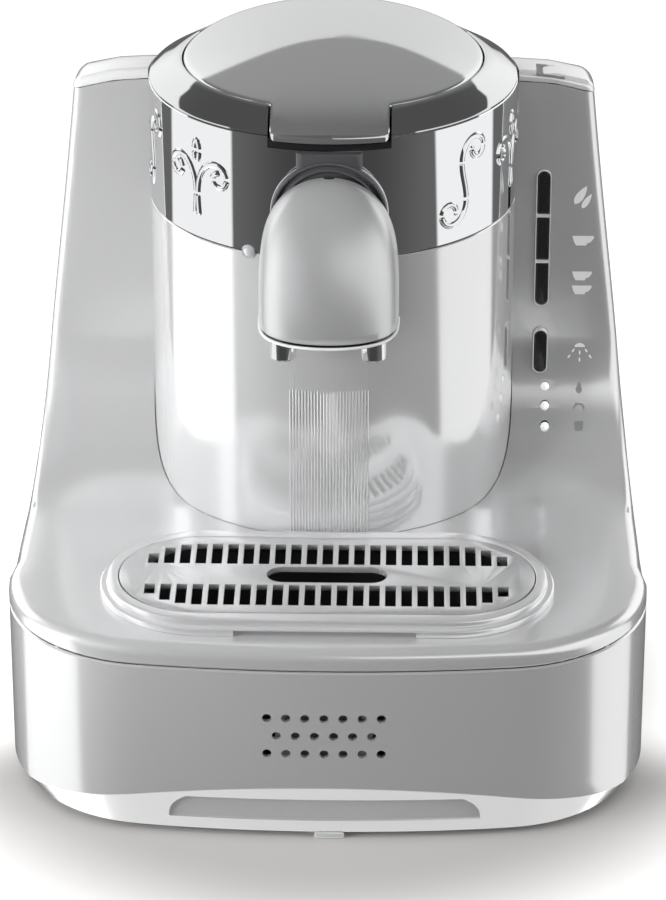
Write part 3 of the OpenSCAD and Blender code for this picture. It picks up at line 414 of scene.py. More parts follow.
@contextmanager
def editing(obj: bpy.types.Object) -> Iterator[None]:
    """Edit mode on one object, with all of it selected at the start.

    Args:
        obj: The object.

    Yields:
        Nothing; the lines inside run in edit mode.
    """
    select_only(obj)
    bpy.ops.object.mode_set(mode="EDIT")
    bpy.ops.mesh.select_all(action="SELECT")
    yield
    bpy.ops.object.mode_set(mode="OBJECT")


def new_primitive(name: str) -> bpy.types.Object:
    """Names the primitive that an operator has just added.

    Args:
        name: The piece's name.

    Returns:
        The primitive.
    """
    obj = bpy.context.object
    obj.name = name
    obj.data.name = name
    return obj


def weld(obj: bpy.types.Object, outward: bool = True) -> bpy.types.Object:
    """Merges doubled points and turns the faces outwards.

    Args:
        obj: The skin.
        outward: Whether its faces are turned too.

    Returns:
        The same object.
    """
    with editing(obj):
        bpy.ops.mesh.remove_doubles(threshold=WELD)
        if outward:
            bpy.ops.mesh.normals_make_consistent(inside=False)
    return obj


def sheet_of(name: str, across: int, along: int, place: Callable[[int, int], Point]) -> bpy.types.Object:
    """A grid whose points are moved to their places.

    Args:
        name: The piece's name.
        across: Faces in the first direction.
        along: Faces in the second direction.
        place: Gives the point in millimetres for a step across and a step along.

    Returns:
        The new object.
    """
    bpy.ops.object.select_all(action="DESELECT")
    bpy.ops.mesh.primitive_grid_add(x_subdivisions=across, y_subdivisions=along, size=2.0)
    obj = new_primitive(name)
    for vertex in obj.data.vertices:
        step = round((vertex.co.x + 1.0) / 2.0 * across), round((vertex.co.y + 1.0) / 2.0 * along)
        vertex.co = Vector(place(*step)) * MM
    return obj


def rounded(point: Iterable[float]) -> tuple[float, ...]:
    """A place that equals its neighbours within a hundredth."""
    return tuple(round(c, 2) for c in point)


def close_ring(obj: bpy.types.Object, ring: Sequence[Point]) -> None:
    """Fills the open rim that runs through a ring of points with one face.

    Args:
        obj: The skin.
        ring: The rim's points in millimetres.
    """
    marks = {rounded(point) for point in ring}
    select_only(obj)
    bpy.ops.object.mode_set(mode="EDIT")
    bpy.ops.mesh.select_mode(type="EDGE")
    bpy.ops.mesh.select_all(action="DESELECT")
    bpy.ops.mesh.select_non_manifold(extend=False, use_wire=False, use_multi_face=False,
                                     use_non_contiguous=False, use_verts=False)
    bpy.ops.object.mode_set(mode="OBJECT")
    points = obj.data.vertices
    for edge in obj.data.edges:
        edge.select = edge.select and all(rounded(points[v].co / MM) in marks for v in edge.vertices)
    keep = {v for edge in obj.data.edges if edge.select for v in edge.vertices}
    for vertex in points:
        vertex.select = vertex.index in keep
    for face in obj.data.polygons:
        face.select = False
    bpy.ops.object.mode_set(mode="EDIT")
    bpy.ops.mesh.edge_face_add()
    bpy.ops.object.mode_set(mode="OBJECT")


def loft(name: str, rings: Sequence[Sequence[Point]], closed: bool = True) -> bpy.types.Object:
    """A skin over closed rings with equal counts of points.

    Args:
        name: The piece's name.
        rings: The rings in order.
        closed: Whether a face closes the first and the last ring.

    Returns:
        The new object.
    """
    count = len(rings[0])
    obj = sheet_of(name, count, len(rings) - 1, lambda i, k: rings[k][i % count])
    weld(obj, outward=False)
    for ring in (rings[0], rings[-1]) if closed else ():
        close_ring(obj, ring)
    return weld(obj)


def extruded(name: str, outline: Sequence[Point2], low: float, high: float,
             lay: Callable[[float, float, float], Point]) -> bpy.types.Object:
    """A flat outline pulled out from low to high; lay turns outline and height into a point."""
    return loft(name, [[lay(u, v, level) for u, v in outline] for level in (low, high)])


def upright(x: float, y: float, z: float) -> Point:
    """Outline in plan, height along Z."""
    return x, y, z


def facing(x: float, z: float, y: float) -> Point:
    """Outline in the front view, depth along Y."""
    return x, y, z


def turned(name: str, profile: Sequence[Point2], centre: Point = ORIGIN,
           steps: int = 128) -> bpy.types.Object:
    """A profile of radius and height, drawn point by point and spun about the upright axis.

    Args:
        name: The piece's name.
        profile: Points of radius and height in millimetres.
        centre: A point on the axis.
        steps: Faces in a full turn.

    Returns:
        The new object.
    """
    bpy.ops.object.select_all(action="DESELECT")
    bpy.ops.mesh.primitive_plane_add(size=0.001)
    obj = new_primitive(name)
    here, middle = Vector(ORIGIN), Vector(centre) * MM
    with editing(obj):
        bpy.ops.mesh.select_mode(type="VERT")
        bpy.ops.mesh.merge(type="CENTER")
        for index, (radius, height) in enumerate(profile):
            there = middle + Vector((radius, 0.0, height)) * MM
            if index:
                bpy.ops.mesh.extrude_region_move(TRANSFORM_OT_translate={"value": there - here})
            else:
                bpy.ops.transform.translate(value=there - here)
            here = there
        bpy.ops.mesh.select_all(action="SELECT")
        bpy.ops.mesh.spin(steps=steps, angle=math.tau, center=middle, axis=(0.0, 0.0, 1.0))
    return weld(obj)


def apply_modifier(obj: bpy.types.Object, kind: str, **settings: object) -> bpy.types.Object:
    """Adds a modifier with these settings and applies it.

    Args:
        obj: The object.
        kind: The modifier's type name.
        settings: Its settings.

    Returns:
        The same object.
    """
    select_only(obj)
    modifier = obj.modifiers.new(kind.title(), kind)
    for key, value in settings.items():
        setattr(modifier, key, value)
    bpy.ops.object.modifier_apply(modifier=modifier.name)
    return obj


def thicken(obj: bpy.types.Object, wall: float) -> bpy.types.Object:
    """Gives a skin its wall, grown inwards."""
    return apply_modifier(obj, "SOLIDIFY", thickness=wall * MM, offset=-1.0, use_even_offset=True)


def round_edges(obj: bpy.types.Object, radius: float, segments: int = 2,
                angle: float = 40.0) -> bpy.types.Object:
    """Rounds the edges that are sharper than an angle."""
    return apply_modifier(obj, "BEVEL", width=radius * MM, segments=segments, limit_method="ANGLE",
                          angle_limit=math.radians(angle), use_clamp_overlap=True)


def join(name: str, pieces: Sequence[bpy.types.Object]) -> bpy.types.Object:
    """Makes one object of several.

    Args:
        name: The piece's name.
        pieces: The objects.

    Returns:
        The joined object.
    """
    select_only(pieces[0])
    for piece in pieces[1:]:
        piece.select_set(True)
    bpy.ops.object.join()
    return new_primitive(name)


def cut(obj: bpy.types.Object, *tools: bpy.types.Object, folded: bool = False) -> bpy.types.Object:
    """Takes the tools' shapes out of an object and clears the tools away.

    Args:
        obj: The object that is cut.
        tools: What is taken out of it.
        folded: Set for a wall whose inner side folds over itself in tight corners.

    Returns:
        The object.
    """
    for tool in tools:
        apply_modifier(obj, "BOOLEAN", operation="DIFFERENCE", solver="EXACT", object=tool, use_self=folded)
        bpy.data.objects.remove(tool)
    return obj


def smooth(obj: bpy.types.Object, angle: float) -> bpy.types.Object:
    """Shades smoothly across edges flatter than an angle.

    Args:
        obj: The object.
        angle: Sharper edges than this stay crisp, in degrees.

    Returns:
        The same object.
    """
    select_only(obj)
    bpy.ops.object.shade_smooth_by_angle(angle=math.radians(angle))
    return obj


def move_points(obj: bpy.types.Object, change: Callable[[Vector], Point]) -> bpy.types.Object:
    """Moves each point to what change makes of its place, in millimetres.

    Args:
        obj: The object.
        change: Gives a point's new place from its old one.

    Returns:
        The same object.
    """
    for vertex in obj.data.vertices:
        vertex.co = Vector(change(vertex.co / MM)) * MM
    return obj


def circle(x: float, y: float, radius: float, count: int) -> list[Point2]:
    """Points round a circle."""
    turns = [math.tau * i / count for i in range(count)]
    return [(x + radius * math.cos(a), y + radius * math.sin(a)) for a in turns]


def rod(name: str, x: float, y: float, z: float, radius: float, low: float, high: float, axis: str = "Z",
        count: int = 48) -> bpy.types.Object:
    """A round bar between two levels along an axis.

    Args:
        name: The piece's name.
        x: Place of the axis across.
        y: Place of the axis in depth.
        z: Place of the axis in height.
        radius: The bar's radius.
        low: Its lower end along the axis.
        high: Its upper end along the axis.
        axis: The axis, X, Y or Z.
        count: Faces round it.

    Returns:
        The new object.
    """
    lay = {
        "Z": lambda u, v, level: (x + u, y + v, level),
        "Y": lambda u, v, level: (x + u, level, z + v),
        "X": lambda u, v, level: (level, y + u, z + v),
    }[axis]
    return extruded(name, circle(0.0, 0.0, radius, count), low, high, lay)


def block(name: str, low: Point, high: Point, radius: float = 0.0) -> bpy.types.Object:
    """A block between two corners, with rounded edges where asked.

    Args:
        name: The piece's name.
        low: The lowest corner.
        high: The highest corner.
        radius: Radius of its edges.

    Returns:
        The new object.
    """
    size = [h - l for l, h in zip(low, high)]
    middle = [(h + l) / 2 for l, h in zip(low, high)]
    bpy.ops.object.select_all(action="DESELECT")
    bpy.ops.mesh.primitive_cube_add(size=1.0)
    obj = new_primitive(name)
    move_points(obj, lambda p: tuple(m + c * MM * s for m, c, s in zip(middle, p, size)))
    return round_edges(obj, radius, 3) if radius else obj


def capsule(width: float, depth: float, count: int, x: float = 0.0, y: float = 0.0) -> list[Point2]:
    """Outline with round ends; the ends lie along the longer side.

    Args:
        width: Its size across.
        depth: Its size in depth.
        count: Steps in each round end.
        x: Its middle across.
        y: Its middle in depth.

    Returns:
        The outline's points.
    """
    if width >= depth:
        r, run = depth / 2, (width - depth) / 2
        turns = spread(0.0, math.pi, count)
        right = [(x + run + r * math.sin(a), y - r * math.cos(a)) for a in turns]
        return right + [(x - run - r * math.sin(a), y + r * math.cos(a)) for a in turns]
    return [(x + v, y - u) for u, v in capsule(depth, width, count)]


def spread(low: float, high: float, steps: int) -> list[float]:
    """Values from low to high in equal steps."""
    return [low + (high - low) * i / steps for i in range(steps + 1)]


def bead(name: str, path: Sequence[Point], radius: float, sides: int) -> bpy.types.Object:
    """A round bead along a path, tapered to a soft tip at both ends.

    Args:
        name: The piece's name.
        path: Points along its middle.
        radius: Its radius.
        sides: Faces round it.

    Returns:
        The new object.
    """
    rings = []
    for i, here in enumerate(path):
        before, after = Vector(path[max(0, i - 1)]), Vector(path[min(len(path) - 1, i + 1)])
        run = (after - before).normalized()
        side = run.cross(UP)
        side = side.normalized() if side.length > 0.01 else Vector((1.0, 0.0, 0.0))
        rise = run.cross(side)
        size = radius * (TIP_SHARE if i in (0, len(path) - 1) else 1.0)
        rings.append([tuple(Vector(here) + (side * math.cos(a) + rise * math.sin(a)) * size)
                      for a in spread(0.0, math.tau, sides)[:-1]])
    return loft(name, rings)


def hand_over(obj: bpy.types.Object, finish: Paint, body: str, slot: str, *nodes: str,
              angle: float = 32.0) -> None:
    """Dresses a finished piece and ties it to the frame.

    Args:
        obj: The piece, at the origin with its place in its mesh.
        finish: What it is finished in.
        body: The body that it rides on.
        slot: The material slot of the record; not used.
        nodes: The nodes that it stands for.
        angle: Edges sharper than this stay crisp.
    """
    if len(obj.data.materials) == 0:
        finish.on(obj)
    smooth(obj, angle)
    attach(obj, body)
    if nodes:
        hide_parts(*nodes)
    LOG.info("%s: %d points, rides on %s", obj.name, len(obj.data.vertices), body)


# ---------------------------------------------------------------- shared form


@dataclass(frozen=True)
class HousingForm:
    """The outlines that the base, the upper body and the tank cover share."""

    half_width: float = 133.0
    front: float = -150.0
    back: float = 148.0
    corner_r: float = 64.0
    front_r: float = 600.0
    back_r: float = 28.0
    side_taper: float = 6.0
    shelf_z: float = 90.0
    sweep_r: float = 58.0
    face_y: float = 34.0
    ridge_y: float = 54.0
    ridge_soft: float = 3.0
    top_z: float = 270.0
    cap_h: float = 8.0
    roof_slope: float = math.tan(math.radians(27.0))
    tower_half: float = 111.0
    tower_lean: float = 0.109
    lean_z: float = 262.0
    foot_flare: float = 2.2
    flare_z: float = 86.0
    flare_run: float = 12.0
    crown: float = 0.0056
    crown_start: float = 80.0
    crown_low: float = 150.0

    @property
    def corner_x(self) -> float:
        """Middle of a front corner, across."""
        return self.half_width - self.corner_r

    @property
    def corner_y(self) -> float:
        """Middle of a front corner, along the depth."""
        return self.front + self.front_r - math.sqrt((self.front_r - self.corner_r) ** 2 - self.corner_x ** 2)

    @property
    def front_turn(self) -> float:
        """Turn of the outline where the bowed front meets a corner."""
        return math.asin(self.corner_x / (self.front_r - self.corner_r))

    def side(self, y: float) -> float:
        """Half width of the base at depth y."""
        rear = self.back - self.back_r
        return self.half_width - self.side_taper * max(0.0, y - self.corner_y) / (rear - self.corner_y)

    def tower(self, y: float, z: float) -> float:
        """Half width of the upper body at depth y and height z.

        Args:
            y: The depth.
            z: The height.

        Returns:
            The half width.
        """
        z = max(z, self.shelf_z)
        flare = (self.tower_half + (self.lean_z - z) * self.tower_lean
                 + self.foot_flare * math.exp((self.flare_z - z) / self.flare_run))
        apart = self.side(y) - flare
        return (self.side(y) + flare - math.sqrt(apart * apart + 1.0)) / 2 + 0.15

    def roof(self, y: float) -> float:
        """Height of the roof at depth y."""
        past = y - self.ridge_y
        return self.top_z - self.roof_slope * (past + math.sqrt(past * past + self.ridge_soft ** 2)) / 2

    def cap_line(self, y: float) -> float:
        """Height of the lower edge of the tank cover at depth y.

        Args:
            y: The depth.

        Returns:
            The height.
        """
        if y <= self.face_y + 4.0:
            return self.top_z - 4.0
        if y <= self.ridge_y:
            return self.top_z - 4.0 - (y - self.face_y - 4.0) * 0.25
        return self.top_z - self.cap_h - (y - self.ridge_y) * self.roof_slope

    def crowned(self, p: Vector) -> Point:
        """The point, lowered towards the sides where it belongs to the crowned top.

        Args:
            p: The point in millimetres.

        Returns:
            The new place.
        """
        share = min(1.0, max(0.0, (p.z - self.crown_low) / (self.top_z - 10.0 - self.crown_low)))
        past = max(0.0, abs(p.x) - self.crown_start)
        return p.x, p.y, p.z - self.crown * past * past * share * share * (3 - 2 * share)

    def crowned_through(self, p: Vector) -> Point:
        """The point, lowered as far as the top of the tower is above it.

        Args:
            p: The point in millimetres.

        Returns:
            The new place.
        """
        top = self.crowned(Vector((p.x, p.y, self.top_z)))
        return p.x, p.y, p.z + top[2] - self.top_z

    def sweep(self, angle: float) -> Point2:
        """Depth and height on the sweep; angle 0 is at the shelf, a quarter turn at the face."""
        return (self.face_y - self.sweep_r * (1 - math.sin(angle)),
                self.shelf_z + self.sweep_r * (1 - math.cos(angle)))

    def surface_y(self, z: float) -> float:
        """Depth of the front surface of the upper body at height z.

        Args:
            z: The height.

        Returns:
            The depth.
        """
        drop = self.shelf_z + self.sweep_r - z
        if drop <= 0.0:
            return self.face_y
        return self.face_y - self.sweep_r + math.sqrt(self.sweep_r ** 2 - drop ** 2)

    def half_outline(self, inset: float) -> list[Point2]:
        """Right half of the plan outline, from the front middle round to the back middle.

        Args:
            inset: How far the outline is moved inwards.

        Returns:
            The points.
        """
        turn, reach = self.front_turn, self.front_r - inset
        points = [(reach * math.sin(a), self.front + self.front_r - reach * math.cos(a))
                  for a in spread(0.0, turn, 8)]
        r = self.corner_r - inset
        points += [(self.corner_x + r * math.sin(a), self.corner_y - r * math.cos(a))
                   for a in spread(turn, math.pi / 2, 16)[1:]]
        rear = self.back - self.back_r
        points += [(self.side(y) - inset, y) for y in spread(self.corner_y, rear, 10)[1:]]
        r = self.back_r - inset
        middle = self.side(rear) - self.back_r
        points += [(middle + r * math.cos(a), rear + r * math.sin(a))
                   for a in spread(0.0, math.pi / 2, 8)[1:]]
        points += [(x, self.back - inset) for x in spread(middle, 0.0, 8)[1:]]
        return points

    def outline(self, inset: float) -> list[Point2]:
        """The whole plan outline."""
        right = self.half_outline(inset)
        return right + [(-x, y) for x, y in reversed(right[1:-1])]


FORM = HousingForm()


# ---------------------------------------------------------------- sub-assemblies


@dataclass
class Base:
    """Lower moulding with the speaker, the grip, the front foot and the service cover."""

    foot_h: float = 3.0
    top_z: float = 80.5
    chin: float = 5.0
    crease_front: float = 27.0
    crease_side: float = 10.0
    wall: float = 2.5
    speaker_z: float = 51.0
    hole_pitch: float = 7.75
    hole_d: float = 3.8
    hole_rows: tuple[int, ...] = (7, 6, 7)
    row_pitch: float = 8.2
    grip_half: float = 64.0
    grip_low: float = 9.2
    grip_h: float = 11.3
    grip_depth: float = 4.75
    cover_half: float = 68.5
    cover_z: Point2 = (14.5, 71.5)
    cover_y: Point2 = (146.5, 147.9)
    cover_screw: Point2 = (65.5, 1.7)
    slot_count: int = 9
    slot_pitch: float = 8.0
    gland: Point = (44.0, 34.0, 6.0)

    def crease(self, x: float, y: float) -> float:
        """Height of the crease at a place on the outline.

        Args:
            x: Place across.
            y: Place in depth.

        Returns:
            The height.
        """
        if y > FORM.corner_y:
            return self.crease_side
        return self.crease_side + (self.crease_front - self.crease_side) * max(0.0, 1 - (x / 125.0) ** 2)

    def shell(self) -> bpy.types.Object:
        """The outer skin from the underside to the seam, with its wall.

        Returns:
            The shell, without its openings.
        """
        chin_steps = [(0.0, self.chin + 0.5), (0.03, self.chin * 0.97), (0.35, self.chin * 0.65),
                      (0.7, self.chin * 0.3), (0.96, self.chin * 0.04), (0.985, 0.06)]
        wall_steps = [(42.0, 0.0), (60.0, 0.0), (self.top_z - 0.8, 0.0), (self.top_z, 0.7)]
        outline = FORM.outline(0.0)
        rings = [[(x, y, self.foot_h + (self.crease(*o) - self.foot_h) * share)
                  for (x, y), o in zip(FORM.outline(inset), outline)] for share, inset in chin_steps]
        rings += [[(x, y, self.crease(x, y) + lift) for x, y in outline] for lift in (0.35, 6.0)]
        rings += [[(x, y, z) for x, y in FORM.outline(inset)] for z, inset in wall_steps]
        skin = loft("base_body", rings, closed=False)
        return thicken(skin, self.wall)

    def speaker_tools(self) -> bpy.types.Object:
        """Bars that drill the speaker holes.

        Returns:
            The bars as one tool.
        """
        bars = []
        for row, count in enumerate(self.hole_rows):
            for i in range(count):
                x = (i - (count - 1) / 2) * self.hole_pitch
                z = self.speaker_z + (1 - row) * self.row_pitch
                bars.append(rod("drill", x, 0.0, z, self.hole_d / 2, FORM.front - 6, FORM.front + 8, "Y", 20))
        return join("drills", bars)

    def grip_tool(self) -> bpy.types.Object:
        """Slab that presses the shallow grip into the chin.

        Returns:
            The slab.
        """

        def place(i: int, k: int) -> Point:
            """Point of the slab's inner face, which leans less than the chin.

            Args:
                i: Step across.
                k: Step up.

            Returns:
                The point.
            """
            z = self.grip_low + self.grip_h * k / 6
            x = (self.grip_half - 7.0 * (k / 6) ** 3) * (2 * i / 32 - 1)
            reach = FORM.front_r - self.grip_depth + 1.3 * k / 6
            return x, FORM.front + FORM.front_r - math.sqrt(reach ** 2 - x ** 2), z

        slab = sheet_of("grip", 32, 6, place)
        with editing(slab):
            bpy.ops.mesh.extrude_region_move(TRANSFORM_OT_translate={"value": (0.0, -12.0 * MM, 0.0)})
        return weld(slab)

    def service_cover(self) -> bpy.types.Object:
        """Rear plate with cooling slots, a hole for the gland and screw holes.

        Returns:
            The plate.
        """
        half, (low, high), through = self.cover_half, self.cover_z, (140.0, 152.0)
        plate = extruded("service_cover", [(-half, low), (half, low), (half, high), (-half, high)],
                         *self.cover_y, facing)
        slots = [extruded("slot", capsule(3.0, 30.0, 8, -50.5 + self.slot_pitch * i, 43.0), *through, facing)
                 for i in range(self.slot_count)]
        screw_x, screw_r = self.cover_screw
        holes = [rod("hole", x, 0.0, z, screw_r, *through, "Y", 20)
                 for x in (-screw_x, screw_x) for z in (18.0, 68.0)]
        x, z, radius = self.gland
        gland = rod("gland", x, 0.0, z, radius, *through, "Y")
        cut(plate, join("slots", slots), join("holes", holes), gland)
        return round_edges(plate, 0.3, 2, 60.0)

    def build(self) -> None:
        """Builds and hands over the base's pieces."""
        shell = self.shell()
        cut(shell, self.speaker_tools(), self.grip_tool(),
            block("rebate", (-69.0, 146.5, 14.0), (69.0, 152.0, 72.0)),
            block("opening", (-62.0, 140.0, 17.0), (62.0, 150.0, 69.0)))
        hand_over(shell, Paint.HOUSING, "housing", "housing_silver", "base_shell", angle=24.0)
        hand_over(self.service_cover(), Paint.PAN, "housing", "pan_plastic", "rear_cover")
        foot = block("front_foot_block", (-4.0, -145.4, 0.4), (8.0, -135.4, 3.0), 0.5)
        # The foot wears the lighter copy of the housing paint, the one painted light for the tank cover.
        hand_over(foot, Paint.CAP, "housing", "housing_silver", "front_foot")


@dataclass
class UpperBody:
    """Shelf, sweep and tower in one moulding."""

    edge_r: float = 5.0
    seam_z: float = 81.0
    wall: float = 2.5
    deck_z: float = 87.5
    edge_steps: int = 6
    across: int = 24
    column_way: float = 78.3
    tray_way: Point2 = (160.0, 63.0)
    deck_front: float = -22.0
    brew_way: float = 30.0
    valve_way: Point = (60.0, 128.75, 8.0)
    stations: list[Station] = field(default_factory=list)
    shelf_count: int = 0

    def __post_init__(self) -> None:
        """Lays out the stations along the right edge of the top surface.

        Each station is a corner point, the way out and the way up from the surface there.
        """
        right = Vector((1.0, 0.0, 0.0))
        z = FORM.shelf_z
        for a in spread(FORM.front_turn, math.pi / 2, 14):
            out = Vector((math.sin(a), -math.cos(a), 0.0))
            spot = Vector((FORM.corner_x, FORM.corner_y, z)) + out * FORM.corner_r
            self.stations.append((tuple(spot), out, UP))
        sweep_start = FORM.sweep(0.0)[0]
        for y in spread(FORM.corner_y, sweep_start, 5)[1:]:
            self.stations.append(((FORM.tower(y, z), y, z), right, UP))
        self.shelf_count = len(self.stations)
        for a in spread(0.0, math.pi / 2, 14)[1:]:
            y, height = FORM.sweep(a)
            way = Vector((0.0, -math.sin(a), math.cos(a)))
            self.stations.append(((FORM.tower(y, height), y, height), right, way))
        for height in spread(FORM.shelf_z + FORM.sweep_r, self.rim(FORM.face_y), 8)[1:]:
            self.stations.append(((FORM.tower(FORM.face_y, height), FORM.face_y, height), right,
                                  Vector((0.0, -1.0, 0.0))))

    @staticmethod
    def rim(y: float) -> float:
        """Height of the upper rim, a seam below the tank cover."""
        return FORM.cap_line(y) - 0.5

    def edge_point(self, station: Station, share: float) -> Vector:
        """Point on the rounded edge; share 0 is on the top surface and 1 on the wall.

        Args:
            station: The corner, the way out and the way up.
            share: Place on the rounding.

        Returns:
            The point.
        """
        corner, out, way = station
        middle = Vector(corner) - (out + way) * self.edge_r
        turn = share * math.pi / 2
        return middle + (way * math.cos(turn) + out * math.sin(turn)) * self.edge_r

    def front_station(self, x: float) -> Station:
        """Station on the bowed front at distance x from the middle.

        Args:
            x: The distance.

        Returns:
            The station.
        """
        a = math.asin(x / FORM.front_r)
        out = Vector((math.sin(a), -math.cos(a), 0.0))
        spot = Vector((0.0, FORM.front + FORM.front_r, FORM.shelf_z)) + out * FORM.front_r
        return tuple(spot), out, UP

    def top_surface(self) -> bpy.types.Object:
        """Shelf, sweep and face as one sheet.

        Returns:
            The sheet.
        """
        first = self.edge_point(self.stations[0], 0.0)
        bow = first.y - self.edge_point(self.front_station(0.0), 0.0).y

        def place(i: int, k: int) -> Point:
            """Point at step i across and station k.

            Args:
                i: Step across.
                k: The station.

            Returns:
                The point.
            """
            t = 2 * i / self.across - 1
            edge = self.edge_point(self.stations[k], 0.0)
            if k == 0:
                return tuple(self.edge_point(self.front_station(self.stations[0][0][0] * t), 0.0))
            left = max(0.0, (edge.y - FORM.corner_y) / (first.y - FORM.corner_y))
            return edge.x * t, edge.y - bow * left * (1 - t * t), edge.z

        return sheet_of("top", self.across, len(self.stations) - 1, place)

    def border(self) -> list[bpy.types.Object]:
        """Rounded edge all round, and the low wall of the shelf under it.

        Returns:
            The edge and the wall.
        """
        stretch = self.stations[0][0][0]
        front = [self.front_station(stretch * (2 * i / self.across - 1)) for i in range(1, self.across)]
        mirrored = [((-p[0], p[1], p[2]), Vector((-o.x, o.y, o.z)), w) for p, o, w in self.stations]
        ring = list(reversed(mirrored)) + front + self.stations
        low = [s for s in ring if s[2].z > 0.999]
        edge = sheet_of("edge", len(ring) - 1, self.edge_steps,
                        lambda i, k: tuple(self.edge_point(ring[i], k / self.edge_steps)))
        wall_z = FORM.shelf_z - self.edge_r
        levels = (wall_z, self.seam_z + 0.7, self.seam_z)

        def place(i: int, k: int) -> Point:
            """Point of the low wall, with a soft lower edge."""
            spot = self.edge_point(low[i], 1.0) - low[i][1] * (0.6 if k == 2 else 0.0)
            return spot.x, spot.y, levels[k]

        return [edge, sheet_of("wall", len(low) - 1, 2, place)]

    def flank(self, sign: float) -> bpy.types.Object:
        """Side wall with its rear corner and half of the rear wall.

        Args:
            sign: 1 for the right side, -1 for the left.

        Returns:
            The sheet.
        """
        floor = FORM.shelf_z - self.edge_r
        starts = [(self.seam_z, 0.6), (self.seam_z + 0.7, 0.0)]
        rows = [(Vector((self.edge_point(self.stations[self.shelf_count - 1], 1.0).x - inset,
                         FORM.sweep(0.0)[0], z)), inset) for z, inset in starts]
        rows += [(self.edge_point(s, 1.0), 0.0) for s in self.stations[self.shelf_count - 1:]]
        rear = FORM.back - FORM.back_r
        front_top = self.rim(FORM.face_y)

        def place(i: int, k: int) -> Point:
            """Point at step i along the outline and row k up.

            Args:
                i: Step along the outline.
                k: The row.

            Returns:
                The point.
            """
            start, inset = rows[k]

            def height(y: float) -> float:
                """Height of this row at depth y.

                Args:
                    y: The depth.

                Returns:
                    The height.
                """
                if start.z <= floor:
                    return start.z
                return floor + (start.z - floor) * (self.rim(y) - floor) / (front_top - floor)

            if i <= 16:
                y = start.y + (rear - start.y) * i / 16
                z = height(y)
                apart = start.x + inset - FORM.tower(start.y, start.z)
                x = FORM.tower(y, z) - inset + apart * (1 - i / 16) ** 4
                return (x * sign, y, z) if i else (start.x * sign, start.y, start.z)
            a = min(1.0, (i - 16) / 8) * math.pi / 2
            y = rear + FORM.back_r * math.sin(a)
            z = height(y)
            middle = FORM.tower(rear, height(rear)) - FORM.back_r
            x = middle + (FORM.back_r - inset) * math.cos(a)
            if i > 24:
                x = middle * (1 - (i - 24) / 6)
            return x * sign, y - inset * math.sin(a), z

        return sheet_of("flank", 30, len(rows) - 1, place)

    def deck(self) -> bpy.types.Object:
        """Floor under the tower, which carries the column and the water tank.

        Returns:
            The floor.
        """
        plan = [(x, y) for x, y in FORM.outline(self.wall + 0.3) if y > self.deck_front]
        deck = extruded("deck", sorted(plan, key=lambda p: math.atan2(p[1] - 60.0, p[0])),
                        self.deck_z, self.deck_z + self.wall, upright)
        x, y, radius = self.valve_way
        return cut(deck, rod("way", 0.0, COLUMN_Y, 0.0, self.brew_way, 80.0, 100.0),
                   rod("valve_way", x, y, 0.0, radius, 80.0, 100.0))

    def build(self, panel: Panel) -> None:
        """Builds and hands over the upper body.

        Args:
            panel: The panel that it is opened for.
        """
        skin = join("upper_body", [self.top_surface(), *self.border(), self.flank(1.0), self.flank(-1.0)])
        weld(skin)
        move_points(skin, FORM.crowned)
        thicken(skin, self.wall)
        cut(skin, rod("column", 0.0, COLUMN_Y, 0.0, self.column_way, 70.0, 300.0, count=160),
            extruded("tray", capsule(*self.tray_way, 24, 0.0, TRAY_Y), 80.0, 100.0, upright),
            *panel.openings())
        body = join("upper_body", [skin, self.deck()])
        hand_over(body, Paint.HOUSING, "housing", "housing_silver", "body_shell", angle=24.0)


